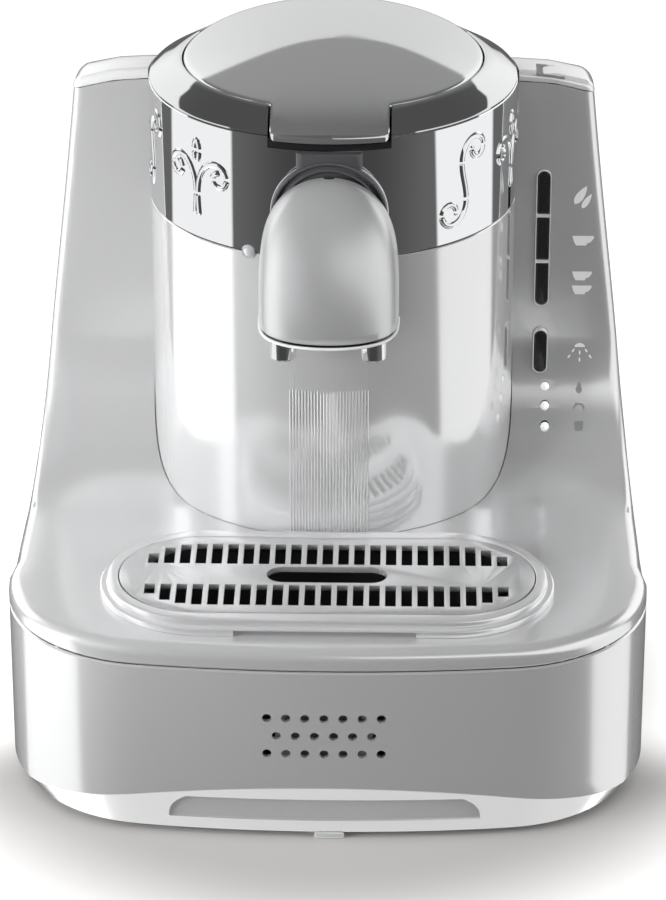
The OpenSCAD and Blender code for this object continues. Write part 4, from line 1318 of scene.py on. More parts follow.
@dataclass
class TankCover:
    """Cap of the tower, which is the lid of the water tank too."""

    wall: float = 2.2
    front_r: float = 3.0
    side_r: float = 7.3
    back_r: float = 7.0
    column_way: float = 78.8
    pin_x: float = 74.0
    pin_y: float = 145.6
    pin_z: float = 216.7
    eye_r: float = 2.3
    tab_middle: Point2 = (92.0, 39.9)
    tab_half: float = 5.9
    across: int = 16
    ring_steps: int = 6

    def edge_radius(self, y: float) -> float:
        """Radius of the upper edge at depth y.

        Args:
            y: The depth.

        Returns:
            The radius.
        """
        if y < 60.0:
            return self.front_r + (self.side_r - self.front_r) * max(0.0, (y - FORM.face_y) / 26.0)
        return self.side_r + (self.back_r - self.side_r) * max(0.0, (y - 120.0) / 28.0)

    def edge(self, x: float, y: float, out: Point2, share: float) -> Point:
        """Point on the rounded upper edge; share 0 is the top surface and 1 the wall.

        Args:
            x: Place across on the wall.
            y: Place in depth on the wall.
            out: The way out there.
            share: Place on the rounding.

        Returns:
            The point.
        """
        radius = self.edge_radius(y)
        angle = share * math.pi / 2
        inset = radius * (1 - math.sin(angle))
        px, py = x - out[0] * inset, y - out[1] * inset
        return px, py, FORM.roof(py) - radius * (1 - math.cos(angle))

    def outline(self) -> tuple[list[EdgePlace], list[EdgePlace]]:
        """Places along the right side and across the front, each with its way out.

        Returns:
            The places along the side, and those across the front.
        """
        corner, rear = 4.0, FORM.back - FORM.back_r
        side = []
        half = FORM.tower(FORM.face_y, 264.0)
        for a in spread(0.0, math.pi / 2, 5):
            side.append((half - corner + corner * math.sin(a), FORM.face_y + corner * (1 - math.cos(a)),
                         (math.sin(a), -math.cos(a))))
        for y in spread(FORM.face_y + corner, rear, 16)[1:]:
            side.append((FORM.tower(y, FORM.roof(y) - 6.0), y, (1.0, 0.0)))
        middle = FORM.tower(rear, FORM.roof(rear) - 6.0) - FORM.back_r
        for a in spread(0.0, math.pi / 2, 8)[1:]:
            side.append((middle + FORM.back_r * math.cos(a), rear + FORM.back_r * math.sin(a),
                         (math.cos(a), math.sin(a))))
        front_x = side[0][0]
        return side, [(front_x * (2 * i / self.across - 1), FORM.face_y, (0.0, -1.0))
                      for i in range(1, self.across)]

    def skin(self) -> bpy.types.Object:
        """Outer skin: the roof as a sheet and its edge turned down all round.

        Returns:
            The cover, without its openings.
        """
        side, front = self.outline()

        def top(i: int, k: int) -> Point:
            """Point of the roof at step i across and station k."""
            x, y, z = self.edge(*side[k], 0.0)
            return x * (2 * i / self.across - 1), y, z

        roof = sheet_of("roof", self.across, len(side) - 1, top)
        left = [(-x, y, (-o[0], o[1])) for x, y, o in side]
        back_x = side[-1][0]
        rear = [(back_x * (1 - 2 * i / self.across), FORM.back, (0.0, 1.0)) for i in range(1, self.across)]
        ring = front + side + rear + list(reversed(left))

        def drop(i: int, k: int) -> Point:
            """Point of the edge, down to the seam.

            Args:
                i: Step round the edge.
                k: Step down.

            Returns:
                The point.
            """
            x, y, out = ring[i % len(ring)]
            if k <= self.ring_steps:
                return self.edge(x, y, out, k / self.ring_steps)
            return x, y, FORM.cap_line(y)

        rim = sheet_of("rim", len(ring), self.ring_steps + 1, drop)
        skin = join("tower_cap", [roof, rim])
        weld(skin)
        move_points(skin, FORM.crowned_through)
        return thicken(skin, self.wall)

    def tab_point(self, i: int, k: int) -> Point:
        """Point of the dished finger tab.

        Args:
            i: Step across.
            k: Step in depth.

        Returns:
            The point.
        """
        u, v = i / 4 - 1, k / 3 - 1
        x, y = self.tab_middle
        spot = Vector((x + self.tab_half * u, y + self.tab_half * v, FORM.top_z))
        return spot.x, spot.y, FORM.crowned(spot)[2] - 1.0 + 0.35 * max(u * u, v * v) ** 2

    def build(self) -> None:
        """Builds and hands over the cover and its sunk finger tab."""
        cover, x = self.skin(), self.pin_x
        posts = [block("post", (s * x - 3.6, 138.0, 205.0), (s * x + 3.6, 156.0, 219.4)) for s in (-1, 1)]
        cut(cover, rod("column", 0.0, COLUMN_Y, 0.0, self.column_way, 200.0, 300.0, count=160),
            join("posts", posts), block("tab", (86.0, 34.0, 268.6), (98.0, 45.9, 280.0)), folded=True)
        eyes = [rod("eye", 0.0, self.pin_y, self.pin_z, self.eye_r, middle - 2.5, middle + 2.5, "X", 24)
                for middle in (s * x + q * 6.1 for s in (-1, 1) for q in (-1, 1))]
        cover = join("tower_cap", [cover, *eyes])
        # The cover wears the lighter copy of the housing paint: painted light.
        hand_over(cover, Paint.CAP, "tank_cover", "housing_silver", "tank_cover", angle=24.0)
        tab = sheet_of("finger_tab", 8, 6, self.tab_point)
        hand_over(thicken(weld(tab, outward=False), 0.8), Paint.TAB, "tank_cover", "housing_silver")


@dataclass
class Panel:
    """Keys with their frames, status lamps and pictograms."""

    x: float = 90.3
    key_w: float = 5.0
    key_h: float = 19.4
    pitch: float = 21.3
    top_z: float = 215.2
    rinse_z: float = 141.4
    frame_w: float = 0.8
    gap: float = 0.25
    back_y: float = 39.5
    lens_x: float = 92.7
    lens_z: tuple[float, ...] = (125.8, 118.3, 110.8)
    icon_x: float = 107.6
    stack_front: float = 33.2
    rinse_front: float = 31.4
    key_proud: float = 0.3

    def key_outline(self, middle: float, round_top: bool, round_low: bool, grow: float = 0.0) -> list[Point2]:
        """Front outline of a key.

        Args:
            middle: Height of the key's middle.
            round_top: Whether its top is round.
            round_low: Whether its foot is round.
            grow: How far the outline is moved outwards.

        Returns:
            The points.
        """
        w, h = self.key_w / 2 + grow, self.key_h / 2 + grow
        points: list[Point2] = []
        for end, is_round in ((1, round_top), (-1, round_low)):
            turn = spread(0.0, math.pi, 10) if end == 1 else spread(math.pi, math.tau, 10)
            r = w if is_round else 0.35
            for a in turn:
                side = math.cos(a)
                if is_round:
                    points.append((self.x + w * side, middle + end * (h - w) + w * math.sin(a)))
                else:
                    flat = (w - r) * (1 if side > 0 else -1)
                    points.append((self.x + flat + r * side, middle + end * (h - r) + r * math.sin(a)))
        return points

    def stack(self) -> list[tuple[str, float, bool, bool, float]]:
        """Body, middle, round top, round foot and front of the frame of each key.

        Returns:
            A row for each key.
        """
        rows = [(name, self.top_z - i * self.pitch, i == 0, i == 2, self.stack_front)
                for i, name in enumerate(("power_button", "one_cup_button", "two_cup_button"))]
        return rows + [("rinse_button", self.rinse_z, True, True, self.rinse_front)]

    def frame_outline(self, low: float, high: float, grow: float = 0.0) -> list[Point2]:
        """Outline of a frame round the keys between two heights.

        Args:
            low: Low end of the lowest key.
            high: High end of the highest key.
            grow: How far the outline is moved outwards.

        Returns:
            The points.
        """
        w = self.key_w + 2 * (self.frame_w + grow)
        h = high - low + 2 * (self.frame_w + grow)
        return capsule(w, h, 12, self.x, (low + high) / 2)

    def groups(self) -> list[tuple[float, float, float]]:
        """Low end, high end and front of each frame.

        Returns:
            A row for each frame.
        """
        half = self.key_h / 2
        return [(self.top_z - 2 * self.pitch - half, self.top_z + half, self.stack_front),
                (self.rinse_z - half, self.rinse_z + half, self.rinse_front)]

    def openings(self) -> list[bpy.types.Object]:
        """Tools that open the upper body for the frames and the lamps.

        Returns:
            The tools.
        """
        slots = [extruded("frame_slot", self.frame_outline(low, high, 0.15), 15.0, 60.0, facing)
                 for low, high, _ in self.groups()]
        lamps = [rod("lamp_way", self.lens_x, 0.0, z, 2.0, 5.0, 60.0, "Y", 24) for z in self.lens_z]
        return [*slots, join("lamp_ways", lamps)]

    def frames(self) -> bpy.types.Object:
        """Light frames with a bar between the stacked keys.

        Returns:
            The frames as one object.
        """
        pieces = []
        for low, high, front in self.groups():
            frame = extruded("frame", self.frame_outline(low, high), front, 38.2, facing)
            for _, middle, top, foot, row_front in self.stack():
                if row_front == front:
                    outline = self.key_outline(middle, top, foot, self.gap)
                    cut(frame, extruded("key_way", outline, 20.0, 45.0, facing))
            pieces.append(round_edges(frame, 0.22, 2, 50.0))
        return join("key_frames", pieces)

    def keys(self) -> None:
        """The four keys, each on its own body."""
        for body, middle, top, foot, frame_front in self.stack():
            front = round(frame_front + self.key_proud, 2)
            steps = ((self.back_y, 0.0), (front + 0.5, 0.0), (front + 0.15, -0.15), (front, -0.55))
            key = loft(body.replace("_button", "_key"), [
                [facing(u, v, y) for u, v in self.key_outline(middle, top, foot, grow)] for y, grow in steps])
            hand_over(key, Paint.KEY, body, "button_black", body, angle=50.0)

    def lamps(self) -> bpy.types.Object:
        """Domed lamps that follow the lean of the sweep.

        Returns:
            The lamps as one object.
        """
        domes = []
        profile = [(0.0, 0.75), (0.7, 0.68), (1.3, 0.42), (1.75, 0.05), (1.8, -0.3), (1.8, -3.0), (0.0, -3.0)]
        for z in self.lens_z:
            dome = turned("dome", profile, steps=24)
            y = FORM.surface_y(z)
            lean = math.acos(min(1.0, (FORM.shelf_z + FORM.sweep_r - z) / FORM.sweep_r))
            turn = Matrix.Rotation(lean, 3, "X")
            move_points(dome, lambda p, turn=turn, y=y, z=z: tuple(turn @ p + Vector((self.lens_x, y, z))))
            domes.append(dome)
        return join("lamps", domes)

    def draped(self, name: str, outline: Sequence[Point2], proud: float = 0.14) -> bpy.types.Object:
        """A flat shape laid on the front surface; the outline counts from the pictograms' middle."""
        flat = extruded(name, [(self.icon_x + u, v) for u, v in outline], 0.0, 1.0, facing)
        return move_points(flat, lambda p: (p.x, FORM.surface_y(p.z) + (0.25 if p.y > 0.5 else -proud), p.z))

    @staticmethod
    def leaf(x: float, z: float, length: float, width: float, lean: float) -> list[Point2]:
        """Pointed leaf about a middle, leaning to the right.

        Args:
            x: Its middle across.
            z: Its middle in height.
            length: Half its length.
            width: Half its width.
            lean: Its lean in radians.

        Returns:
            The points.
        """
        points = []
        for side in (1, -1):
            for t in spread(-1.0, 1.0, 10)[:-1]:
                u, v = side * width * (1 - t * t) ** 0.7 * (1 - 0.35 * t * side), side * t * length
                points.append((x + u * math.cos(lean) + v * math.sin(lean),
                               z - u * math.sin(lean) + v * math.cos(lean)))
        return points

    def cup(self, z: float, scale: float = 1.0) -> list[bpy.types.Object]:
        """Small cup seen from the side, with its handle.

        Args:
            z: Height of its middle.
            scale: Its scale.

        Returns:
            The cup and its handle.
        """
        bowl = [(-4.6, 2.2), (-3.9, -0.4), (-2.9, -2.2), (1.4, -2.2), (2.3, -0.6), (2.7, 2.2)]
        handle = [(2.6, 2.2), (4.6, 2.2), (4.8, 1.5), (4.1, 0.3), (3.0, -0.9), (2.2, -1.0)]
        return [self.draped(name, [(u * scale, z + v * scale) for u, v in shape])
                for name, shape in (("cup", bowl), ("handle", handle))]

    def shower(self, z: float) -> list[bpy.types.Object]:
        """Spray of short dashes under a small head.

        Args:
            z: Height of the spray's middle.

        Returns:
            The head and the dashes.
        """
        dome = [(2.3 * math.cos(a), z + 3.4 + 1.9 * math.sin(a)) for a in spread(0.0, math.pi, 10)]
        pieces = [self.draped("head", dome)]
        for lean in (-34, 0, 34):
            for reach in (5.0, 8.2):
                a = math.radians(lean)
                u, v = math.sin(a) * reach, z + 6.0 - math.cos(a) * reach
                pieces.append(self.draped("dash", self.leaf(u, v, 1.05, 0.4, -a)))
        return pieces

    def pictograms(self) -> bpy.types.Object:
        """Light pictograms beside the keys.

        Returns:
            The pictograms as one object.
        """
        leaves = [self.leaf(-1.4, 212.9 + 1.2, 4.9, 1.7, 0.55), self.leaf(1.2, 212.9 - 1.6, 3.9, 1.2, 0.55)]
        pieces = [*(self.draped("leaf", shape) for shape in leaves),
                  *self.cup(192.9), *self.cup(176.4, 0.92), *self.cup(169.8, 0.92), *self.shower(139.4)]
        return join("pictograms", pieces)

    def embossed(self) -> bpy.types.Object:
        """Faint marks beside the lamps: a drop, a tap and a container.

        Returns:
            The marks as one object.
        """
        drop = [(1.5 * math.sin(a) * (0.55 + 0.45 * math.cos(a) ** 2 if math.cos(a) > 0 else 1.0),
                 125.2 + 2.2 * math.cos(a)) for a in spread(0.0, math.tau, 20)[:-1]]
        tap = [(-2.4, 117.0), (-2.4, 117.8), (-1.6, 119.2), (1.4, 119.2), (2.4, 118.0), (2.4, 116.8),
               (1.7, 116.8), (1.7, 117.8), (1.1, 118.5), (-1.3, 118.5), (-1.8, 117.6), (-1.8, 117.0)]
        box = [(-2.0, 112.6), (2.0, 112.6), (1.6, 108.9), (-1.6, 108.9)]
        return join("embossed_marks", [self.draped("mark", shape, 0.1) for shape in (drop, tap, box)])

    def build(self) -> None:
        """Builds and hands over the panel's pieces."""
        hand_over(self.frames(), Paint.FRAME, "housing", "frame_silver", "button_frames")
        self.keys()
        hand_over(self.lamps(), Paint.LAMP, "housing", "lens_white", "status_lenses")
        hand_over(self.pictograms(), Paint.PRINT, "housing", "frame_silver")
        hand_over(self.embossed(), Paint.EMBOSS, "housing", "frame_silver")


@dataclass
class Column:
    """Column shell, chrome band, bevelled ring, steam lamp and the spout's socket."""

    radius: float = 78.0
    wall: float = 2.0
    low_z: float = 90.0
    band_z: float = 218.0
    band_top: float = 270.0
    outlet_z: float = 224.2
    notch_half: float = 25.2
    rib_half: int = 13
    rib_pitch: float = 0.955
    rib_depth: float = 0.3
    rib_top: float = 158.0
    scroll_z: float = 244.0
    scroll_sunk: float = 1.1
    scroll_r: float = 1.9
    lamp_turn: float = -25.3

    def around(self, degrees: float, radius: float, z: float) -> Point:
        """Point on the column; 0 degrees is the front and right is positive."""
        a = math.radians(degrees)
        return radius * math.sin(a), COLUMN_Y - radius * math.cos(a), z

    def shell(self) -> bpy.types.Object:
        """Silver skin with fine upright ribs low on its front.

        Returns:
            The skin, without the way to the outlet.
        """
        steps = [(self.rib_pitch * (i / 4 - self.rib_half), (0.0, 1.0, 1.0, 0.0)[i % 4])
                 for i in range(8 * self.rib_half + 1)]
        edge = self.rib_half * self.rib_pitch
        steps += [(a, 0.0) for a in spread(edge, 360.0 - edge, 100)[1:-1]]
        rows = [(self.low_z, 1.0, 0.0), (self.rib_top - 1.0, 1.0, 0.0), (self.rib_top, 0.0, 0.0),
                (190.0, 0.0, 0.0), (217.2, 0.0, 0.0), (217.6, 0.0, 0.4)]

        def place(i: int, k: int) -> Point:
            """Point at step i round and row k up.

            Args:
                i: Step round the column.
                k: The row.

            Returns:
                The point.
            """
            angle, rib = steps[i % len(steps)]
            z, share, inset = rows[k]
            return self.around(angle, self.radius - inset + self.rib_depth * rib * share, z)

        skin = sheet_of("column_skin", len(steps), len(rows) - 1, place)
        weld(skin)
        return thicken(skin, self.wall)

    def band(self) -> bpy.types.Object:
        """Chrome band with a low edge under the lid's tab.

        Returns:
            The band.
        """
        low, top, r = self.band_z, self.band_top, self.radius
        profile = [(77.6, low), (r, low + 0.4), (r, 236.0), (r, 252.0), (r, top - 0.4), (77.6, top),
                   (76.0, top), (76.0, low), (77.6, low)]
        band = turned("band", profile, COLUMN_AXIS, 180)
        return cut(band, block("notch", (-self.notch_half, -60.0, 265.3), (self.notch_half, -20.0, 280.0)))

    def outlet_tool(self) -> bpy.types.Object:
        """Bar that opens the way to the outlet."""
        return rod("outlet_way", 0.0, 0.0, self.outlet_z, 9.0, -60.0, -40.0, "Y")

    def ornament(self) -> bpy.types.Object:
        """Raised scrolls of two kinds, turn about at an even pitch and left out at the front.

        Returns:
            The scrolls as one object.
        """

        def wrap(u: float, v: float, turn: float) -> Point:
            """Point of the motif on the band, u across and v up in millimetres."""
            return self.around(turn + math.degrees(u / self.radius), self.radius - self.scroll_sunk,
                               self.scroll_z + v)

        def volute(start: Point2, heading: float, turn: float, length: float, power: float) -> list[Point2]:
            """Line that rolls up towards its end.

            Args:
                start: Its first point.
                heading: Its first heading in degrees.
                turn: How far it turns in all.
                length: Its length.
                power: How late it turns.

            Returns:
                The points.
            """
            (x, y), points, steps = start, [start], 30
            for i in range(steps):
                a = math.radians(heading + turn * ((i + 0.5) / steps) ** power)
                x, y = x + math.cos(a) * length / steps, y + math.sin(a) * length / steps
                points.append((x, y))
            return points

        upper, lower = (volute((0.0, 0.0), heading, -420.0, 45.0, 2.0) for heading in (104.0, 284.0))
        scroll = upper[:0:-1] + lower
        fern = [volute((s * 1.4, -17.0), 90.0 + s * 6.0, -s * 500.0, 58.0, 2.6) for s in (-1, 1)]
        seed = [(1.5 * math.sin(a), 12.6 - 4.4 * math.cos(a)) for a in spread(0.0, math.tau, 14)]
        beads = []
        for step, turn in enumerate(range(45, 316, 30)):
            for line in ([*fern, seed] if step % 2 else [scroll]):
                beads.append(bead("scroll", [wrap(u, v, turn) for u, v in line], self.scroll_r, 12))
        return join("band_scrolls", beads)

    def ring(self) -> bpy.types.Object:
        """Bevelled ring with a seat for the lid's tab and two hinge lugs.

        Returns:
            The ring with its lugs.
        """
        profile = [(63.6, 266.0), (75.7, 266.0), (75.7, 270.1), (77.5, 270.1), (77.8, 270.4), (77.75, 270.95),
                   (77.4, 271.35), (73.2, 273.7), (69.0, 276.05), (64.9, 278.35), (64.3, 278.45),
                   (63.9, 278.2), (63.6, 277.6), (63.6, 266.0)]
        ring = turned("top_bevel", profile, COLUMN_AXIS, 180)
        cut(ring, block("seat", (-self.notch_half, -55.0, 267.5), (self.notch_half, -23.0, 290.0)),
            block("eye_room", (-13.4, 92.0, 268.0), (13.4, 104.0, 290.0)))
        arch = [(94.0, 267.5), (99.6, 267.5)]
        arch += [(HINGE_Y + HINGE_R * math.cos(a), HINGE_Z + HINGE_R * math.sin(a))
                 for a in spread(0.0, math.pi, 12)]
        lugs = [extruded("lug", arch, middle - 3.0, middle + 3.0, lambda u, v, level: (level, u, v))
                for middle in (-16.4, 16.4)]
        return join("top_bevel", [ring, *(round_edges(lug, 0.4, 2, 50.0) for lug in lugs)])

    def liner(self) -> bpy.types.Object:
        """Dark floor and lip of the seat under the lid's tab.

        Returns:
            The lip.
        """
        profile = [(63.9, 267.6), (63.9, 268.2), (77.2, 268.2), (77.6, 267.8), (77.6, 265.4), (75.9, 265.4),
                   (75.9, 267.6)]
        rings = [[(x, COLUMN_Y - math.sqrt(r * r - x * x), z) for r, z in profile]
                 for x in spread(-25.0, 25.0, 24)]
        return loft("seat_lip", rings)

    def socket(self) -> bpy.types.Object:
        """Dark glossy collar behind the spout, with a neck up to the lid's tab.

        Returns:
            The collar.
        """
        profile = [(8.4, -44.0), (8.4, -49.4), (9.0, -49.8), (17.6, -49.8), (18.6, -50.3), (19.2, -51.2),
                   (20.0, -51.6), (20.8, -51.2), (21.2, -50.5), (21.8, -50.5), (22.3, -51.4), (23.0, -51.9),
                   (23.7, -51.6), (24.0, -50.8), (24.0, -44.0), (8.4, -44.0)]
        collar = turned("collar", [(r, -y) for r, y in profile], steps=96)
        move_points(collar, lambda p: (p.x, -p.z, SOCKET_Z + p.y))
        neck = [(-13.5, -44.0), (-13.5, -49.0), (-12.6, -50.3), (-10.6, -51.0), (10.6, -51.0), (12.6, -50.3),
                (13.5, -49.0), (13.5, -44.0)]
        neck = extruded("neck", neck, 252.0, 265.2, upright)
        round_edges(neck, 0.6, 2, 60.0)
        piece = join("spout_collar", [collar, neck])
        hug = self.radius + 0.05
        return move_points(piece, lambda p: (p.x, min(p.y, COLUMN_Y - math.sqrt(hug ** 2 - p.x ** 2)), p.z))

    def collar_rim(self) -> bpy.types.Object:
        """Thin bright rim round the collar.

        Returns:
            The rim.
        """
        rim = turned("collar_rim", circle(23.75, 0.0, 0.5, 12) + [(24.25, 0.0)], steps=96)
        hug = self.radius + 0.3
        return move_points(rim, lambda p: (
            p.x, COLUMN_Y - math.sqrt(hug ** 2 - p.x ** 2) - 2.1 - p.z, SOCKET_Z + p.y))

    def steam_lamp(self) -> bpy.types.Object:
        """Domed lamp at the lower edge of the band.

        Returns:
            The lamp.
        """
        profile = [(0.0, 1.35), (1.2, 1.2), (2.2, 0.75), (2.5, 0.35), (2.65, 0.5), (2.9, 0.75), (3.1, 0.5),
                   (3.1, -2.0), (0.0, -2.0)]
        lamp = turned("steam_lamp", profile, steps=40)
        turn = math.radians(self.lamp_turn)
        way = Vector((math.sin(turn), -math.cos(turn), 0.0))
        side = UP.cross(way)
        spot = Vector((0.0, COLUMN_Y, self.band_z)) + way * self.radius
        return move_points(lamp, lambda p: tuple(spot + side * p.x + UP * p.y + way * p.z))

    def build(self) -> None:
        """Builds and hands over the column's pieces."""
        shell = cut(self.shell(), self.outlet_tool())
        hand_over(shell, Paint.COLUMN, "housing", "column_silver", "column_shell", angle=20.0)
        band = cut(self.band(), self.outlet_tool())
        hand_over(band, Paint.CHROME, "housing", "band_chrome", "chrome_band")
        hand_over(self.ornament(), Paint.CHROME, "housing", "band_chrome", angle=60.0)
        hand_over(self.ring(), Paint.BEVEL, "housing", "ring_silver", "top_ring", angle=28.0)
        hand_over(self.liner(), Paint.BLACK, "housing", "collar_black", "ring_liner")
        hand_over(self.socket(), Paint.COLLAR, "housing", "collar_black", "spout_socket", angle=40.0)
        hand_over(self.collar_rim(), Paint.CHROME, "housing", "collar_black", angle=60.0)
        hand_over(self.steam_lamp(), Paint.STEAM, "housing", "lens_white", "steam_lens")


@dataclass
class Lid:
    """Flip lid with its dome, its front tab and the eye of its hinge."""

    radius: float = 63.2
    crown_z: float = 286.0
    dome_r: float = 270.0
    tab_half: float = 24.4
    rear_rise: float = 4.2
    roll_start: float = 60.0
    roll_slope: float = 0.228
    roll_bend: float = 0.0092
    reach: float = 79.0
    low_z: float = 273.5

    def surface(self, r: float) -> float:
        """Height of the upper surface at distance r from the axis.

        Args:
            r: The distance.

        Returns:
            The height.
        """
        if r <= self.roll_start:
            return self.crown_z - self.dome_r + math.sqrt(self.dome_r ** 2 - r ** 2)
        past = r - self.roll_start
        return self.surface(self.roll_start) - self.roll_slope * past - self.roll_bend * past * past

    def raised(self, y: float) -> float:
        """Extra height of the upper surface behind the axis."""
        return self.rear_rise * (max(0.0, y) / self.radius) ** 2

    def outline(self) -> list[Point2]:
        """Plan outline about the column's axis, anticlockwise, with soft corners at the tab.

        Returns:
            The points.
        """
        root = math.asin((self.tab_half + 2.4) / self.radius)
        front = math.asin((self.tab_half - 1.6) / self.reach)
        turn, half, reach = math.cos(root) * self.radius, self.tab_half, self.reach
        side = [(half + 1.0, -turn - 0.7), (half + 0.25, -turn - 1.6), (half, -turn - 2.9),
                (half, -turn - 8.0), (half, -reach * 0.905), (half, -reach * 0.925),
                (half - 0.5, -reach * 0.94)]
        disc = [(self.radius * math.sin(a), -self.radius * math.cos(a))
                for a in spread(root, math.tau - root, 120)]
        edge = [(reach * math.sin(a), -reach * math.cos(a)) for a in spread(-front, front, 14)]
        return [*disc, *((-x, y) for x, y in side), *edge, *reversed(side)]

    def shell(self) -> bpy.types.Object:
        """Dome, rolled edge, side and hollow underside.

        Returns:
            The lid, without its hinge.
        """
        outline = self.outline()

        def level(share: float, drop: float = 0.0) -> list[Point]:
            """Ring on the upper surface at a share of the outline.

            Args:
                share: The share.
                drop: How far it lies below the surface.

            Returns:
                The points.
            """
            return [(x * share, y * share + COLUMN_Y,
                     self.surface(math.hypot(x, y) * share) + self.raised(y * share) - drop)
                    for x, y in outline]

        rings = [level(s) for s in (0.004, 0.1, 0.22, 0.36, 0.5, 0.63, 0.74, 0.83, 0.9, 0.95, 0.98)]
        rings += [level(0.992, 0.12), level(0.998, 0.45), level(1.0, 1.0)]
        rings.append([(x, y + COLUMN_Y, min(self.low_z, self.surface(math.hypot(x, y)) - 2.8))
                      for x, y in outline])
        for radius, z in ((57.6, self.low_z), (57.5, 276.7), (0.3, 276.7)):
            rings.append([(radius * x / math.hypot(x, y), radius * y / math.hypot(x, y) + COLUMN_Y, z)
                          for x, y in outline])
        return loft("flip_lid", rings)

    def build(self) -> None:
        """Builds and hands over the lid."""
        shell = self.shell()
        eye = rod("eye", 0.0, HINGE_Y, HINGE_Z, HINGE_R, -13.0, 13.0, "X", 32)
        web = block("web", (-13.0, 88.2, 274.2), (13.0, HINGE_Y, 278.0), 0.5)
        bore = rod("bore", 0.0, HINGE_Y, HINGE_Z, 1.56, -14.0, 14.0, "X", 24)
        hinge = cut(join("hinge", [round_edges(eye, 0.4, 2, 60.0), web]), bore)
        hand_over(join("flip_lid", [shell, hinge]), Paint.LID, "lid", "lid_silver", "lid", angle=30.0)


@dataclass
class Spout:
    """Spout cover, trim plate and two nozzles; they pull off forwards together."""

    half_width: float = 28.8
    foot_z: float = 196.0
    top_z: float = 256.0
    root_y: float = -53.0
    reach: float = 32.0
    swell: float = 0.62
    squareness: float = 0.55
    nozzle_x: float = 18.5
    nozzle_y: float = -68.9
    nozzle_z: float = 183.0
    wall: float = 1.8
    steps: int = 44
    plate_steps: tuple[Point2, ...] = (
        (193.0, 1.9), (193.3, 0.9), (193.7, 0.0), (194.2, -0.35), (194.7, -0.35), (194.9, 0.0), (194.9, 1.2))
    # Heights and insets of a black band under the cover: painted shade of the gap between the cover and the
    # plate.
    shade_band_steps: tuple[Point2, ...] = ((194.9, 0.6), (195.0, 0.35), (195.95, 0.35), (196.3, 2.0))

    def ring(self, z: float, level: float, inset: float) -> list[Point]:
        """Outline of the spout at height z, shaped as at another level and moved inwards.

        Args:
            z: The height.
            level: The height that it is shaped for.
            inset: How far it is moved inwards.

        Returns:
            The points.
        """
        u = max(0.0, (level - self.foot_z) / (self.top_z - self.foot_z))
        half = max(0.5, self.half_width * math.sqrt(max(0.0, 1 - u ** 4)) - inset)
        front = self.root_y - 1.0 - self.reach * max(0.0, 1 - u * u) ** self.swell + inset
        depth = front - self.root_y
        return [(half * math.cos(a), self.root_y + depth * max(0.0, -math.sin(a)) ** self.squareness, z)
                for a in (math.pi + math.pi * self.ease(i / self.steps) for i in range(self.steps + 1))]

    @staticmethod
    def ease(t: float) -> float:
        """Steps that are closer together near both ends."""
        return t - 0.12 * math.sin(math.tau * t)

    def cover(self) -> bpy.types.Object:
        """Crowned cover, open at its back and foot.

        Returns:
            The cover.
        """
        shares = [1 - (1 - t) ** 1.9 for t in spread(0.0, 1.0, 30)]
        levels = [self.foot_z + (self.top_z - self.foot_z) * min(s, 0.9985) for s in shares]
        rings = [self.ring(self.foot_z, self.foot_z, 0.45), self.ring(self.foot_z + 0.5, self.foot_z, 0.0)]
        rings += [self.ring(z, z, 0.0) for z in levels[1:]]
        skin = sheet_of("spout_hood", len(rings[0]) - 1, len(rings) - 1, lambda i, k: rings[k][i])
        return thicken(weld(skin), self.wall)

    def layer(self, name: str, steps: Sequence[Point2]) -> bpy.types.Object:
        """Layer in the foot's outline, open for the nozzles; steps are heights and insets.

        Args:
            name: The piece's name.
            steps: The rings' heights and insets.

        Returns:
            The layer.
        """
        piece = loft(name, [self.ring(z, self.foot_z, inset) for z, inset in steps])
        return cut(piece, *[rod("way", s * self.nozzle_x, self.nozzle_y, 0.0, 5.32, 190.0, 200.0)
                            for s in (-1, 1)])

    def nozzle(self, sign: float) -> bpy.types.Object:
        """Short steel tube with a rolled end.

        Args:
            sign: 1 for the right one, -1 for the left.

        Returns:
            The tube.
        """
        z = self.nozzle_z
        profile = [(3.0, z + 16.0), (3.0, z + 0.5), (3.3, z), (4.6, z), (5.1, z + 0.4), (5.3, z + 1.0),
                   (5.3, z + 16.0), (3.0, z + 16.0)]
        return turned("nozzle", profile, (sign * self.nozzle_x, self.nozzle_y, 0.0), 48)

    def build(self) -> None:
        """Builds and hands over the spout."""
        hand_over(self.cover(), Paint.SPOUT, "spout", "spout_silver", "spout_cover", angle=45.0)
        plate = self.layer("spout_trim", self.plate_steps)
        hand_over(plate, Paint.FRAME, "spout", "spout_silver", "spout_plate")
        # Black band under the cover: painted shade of the gap above the trim plate.
        hand_over(self.layer("spout_painted_shade_band", self.shade_band_steps), Paint.BLACK, "spout", "spout_silver")
        nozzles = join("nozzles", [self.nozzle(-1.0), self.nozzle(1.0)])
        hand_over(nozzles, Paint.CHROME, "spout", "nozzle_steel", "spout_nozzles")


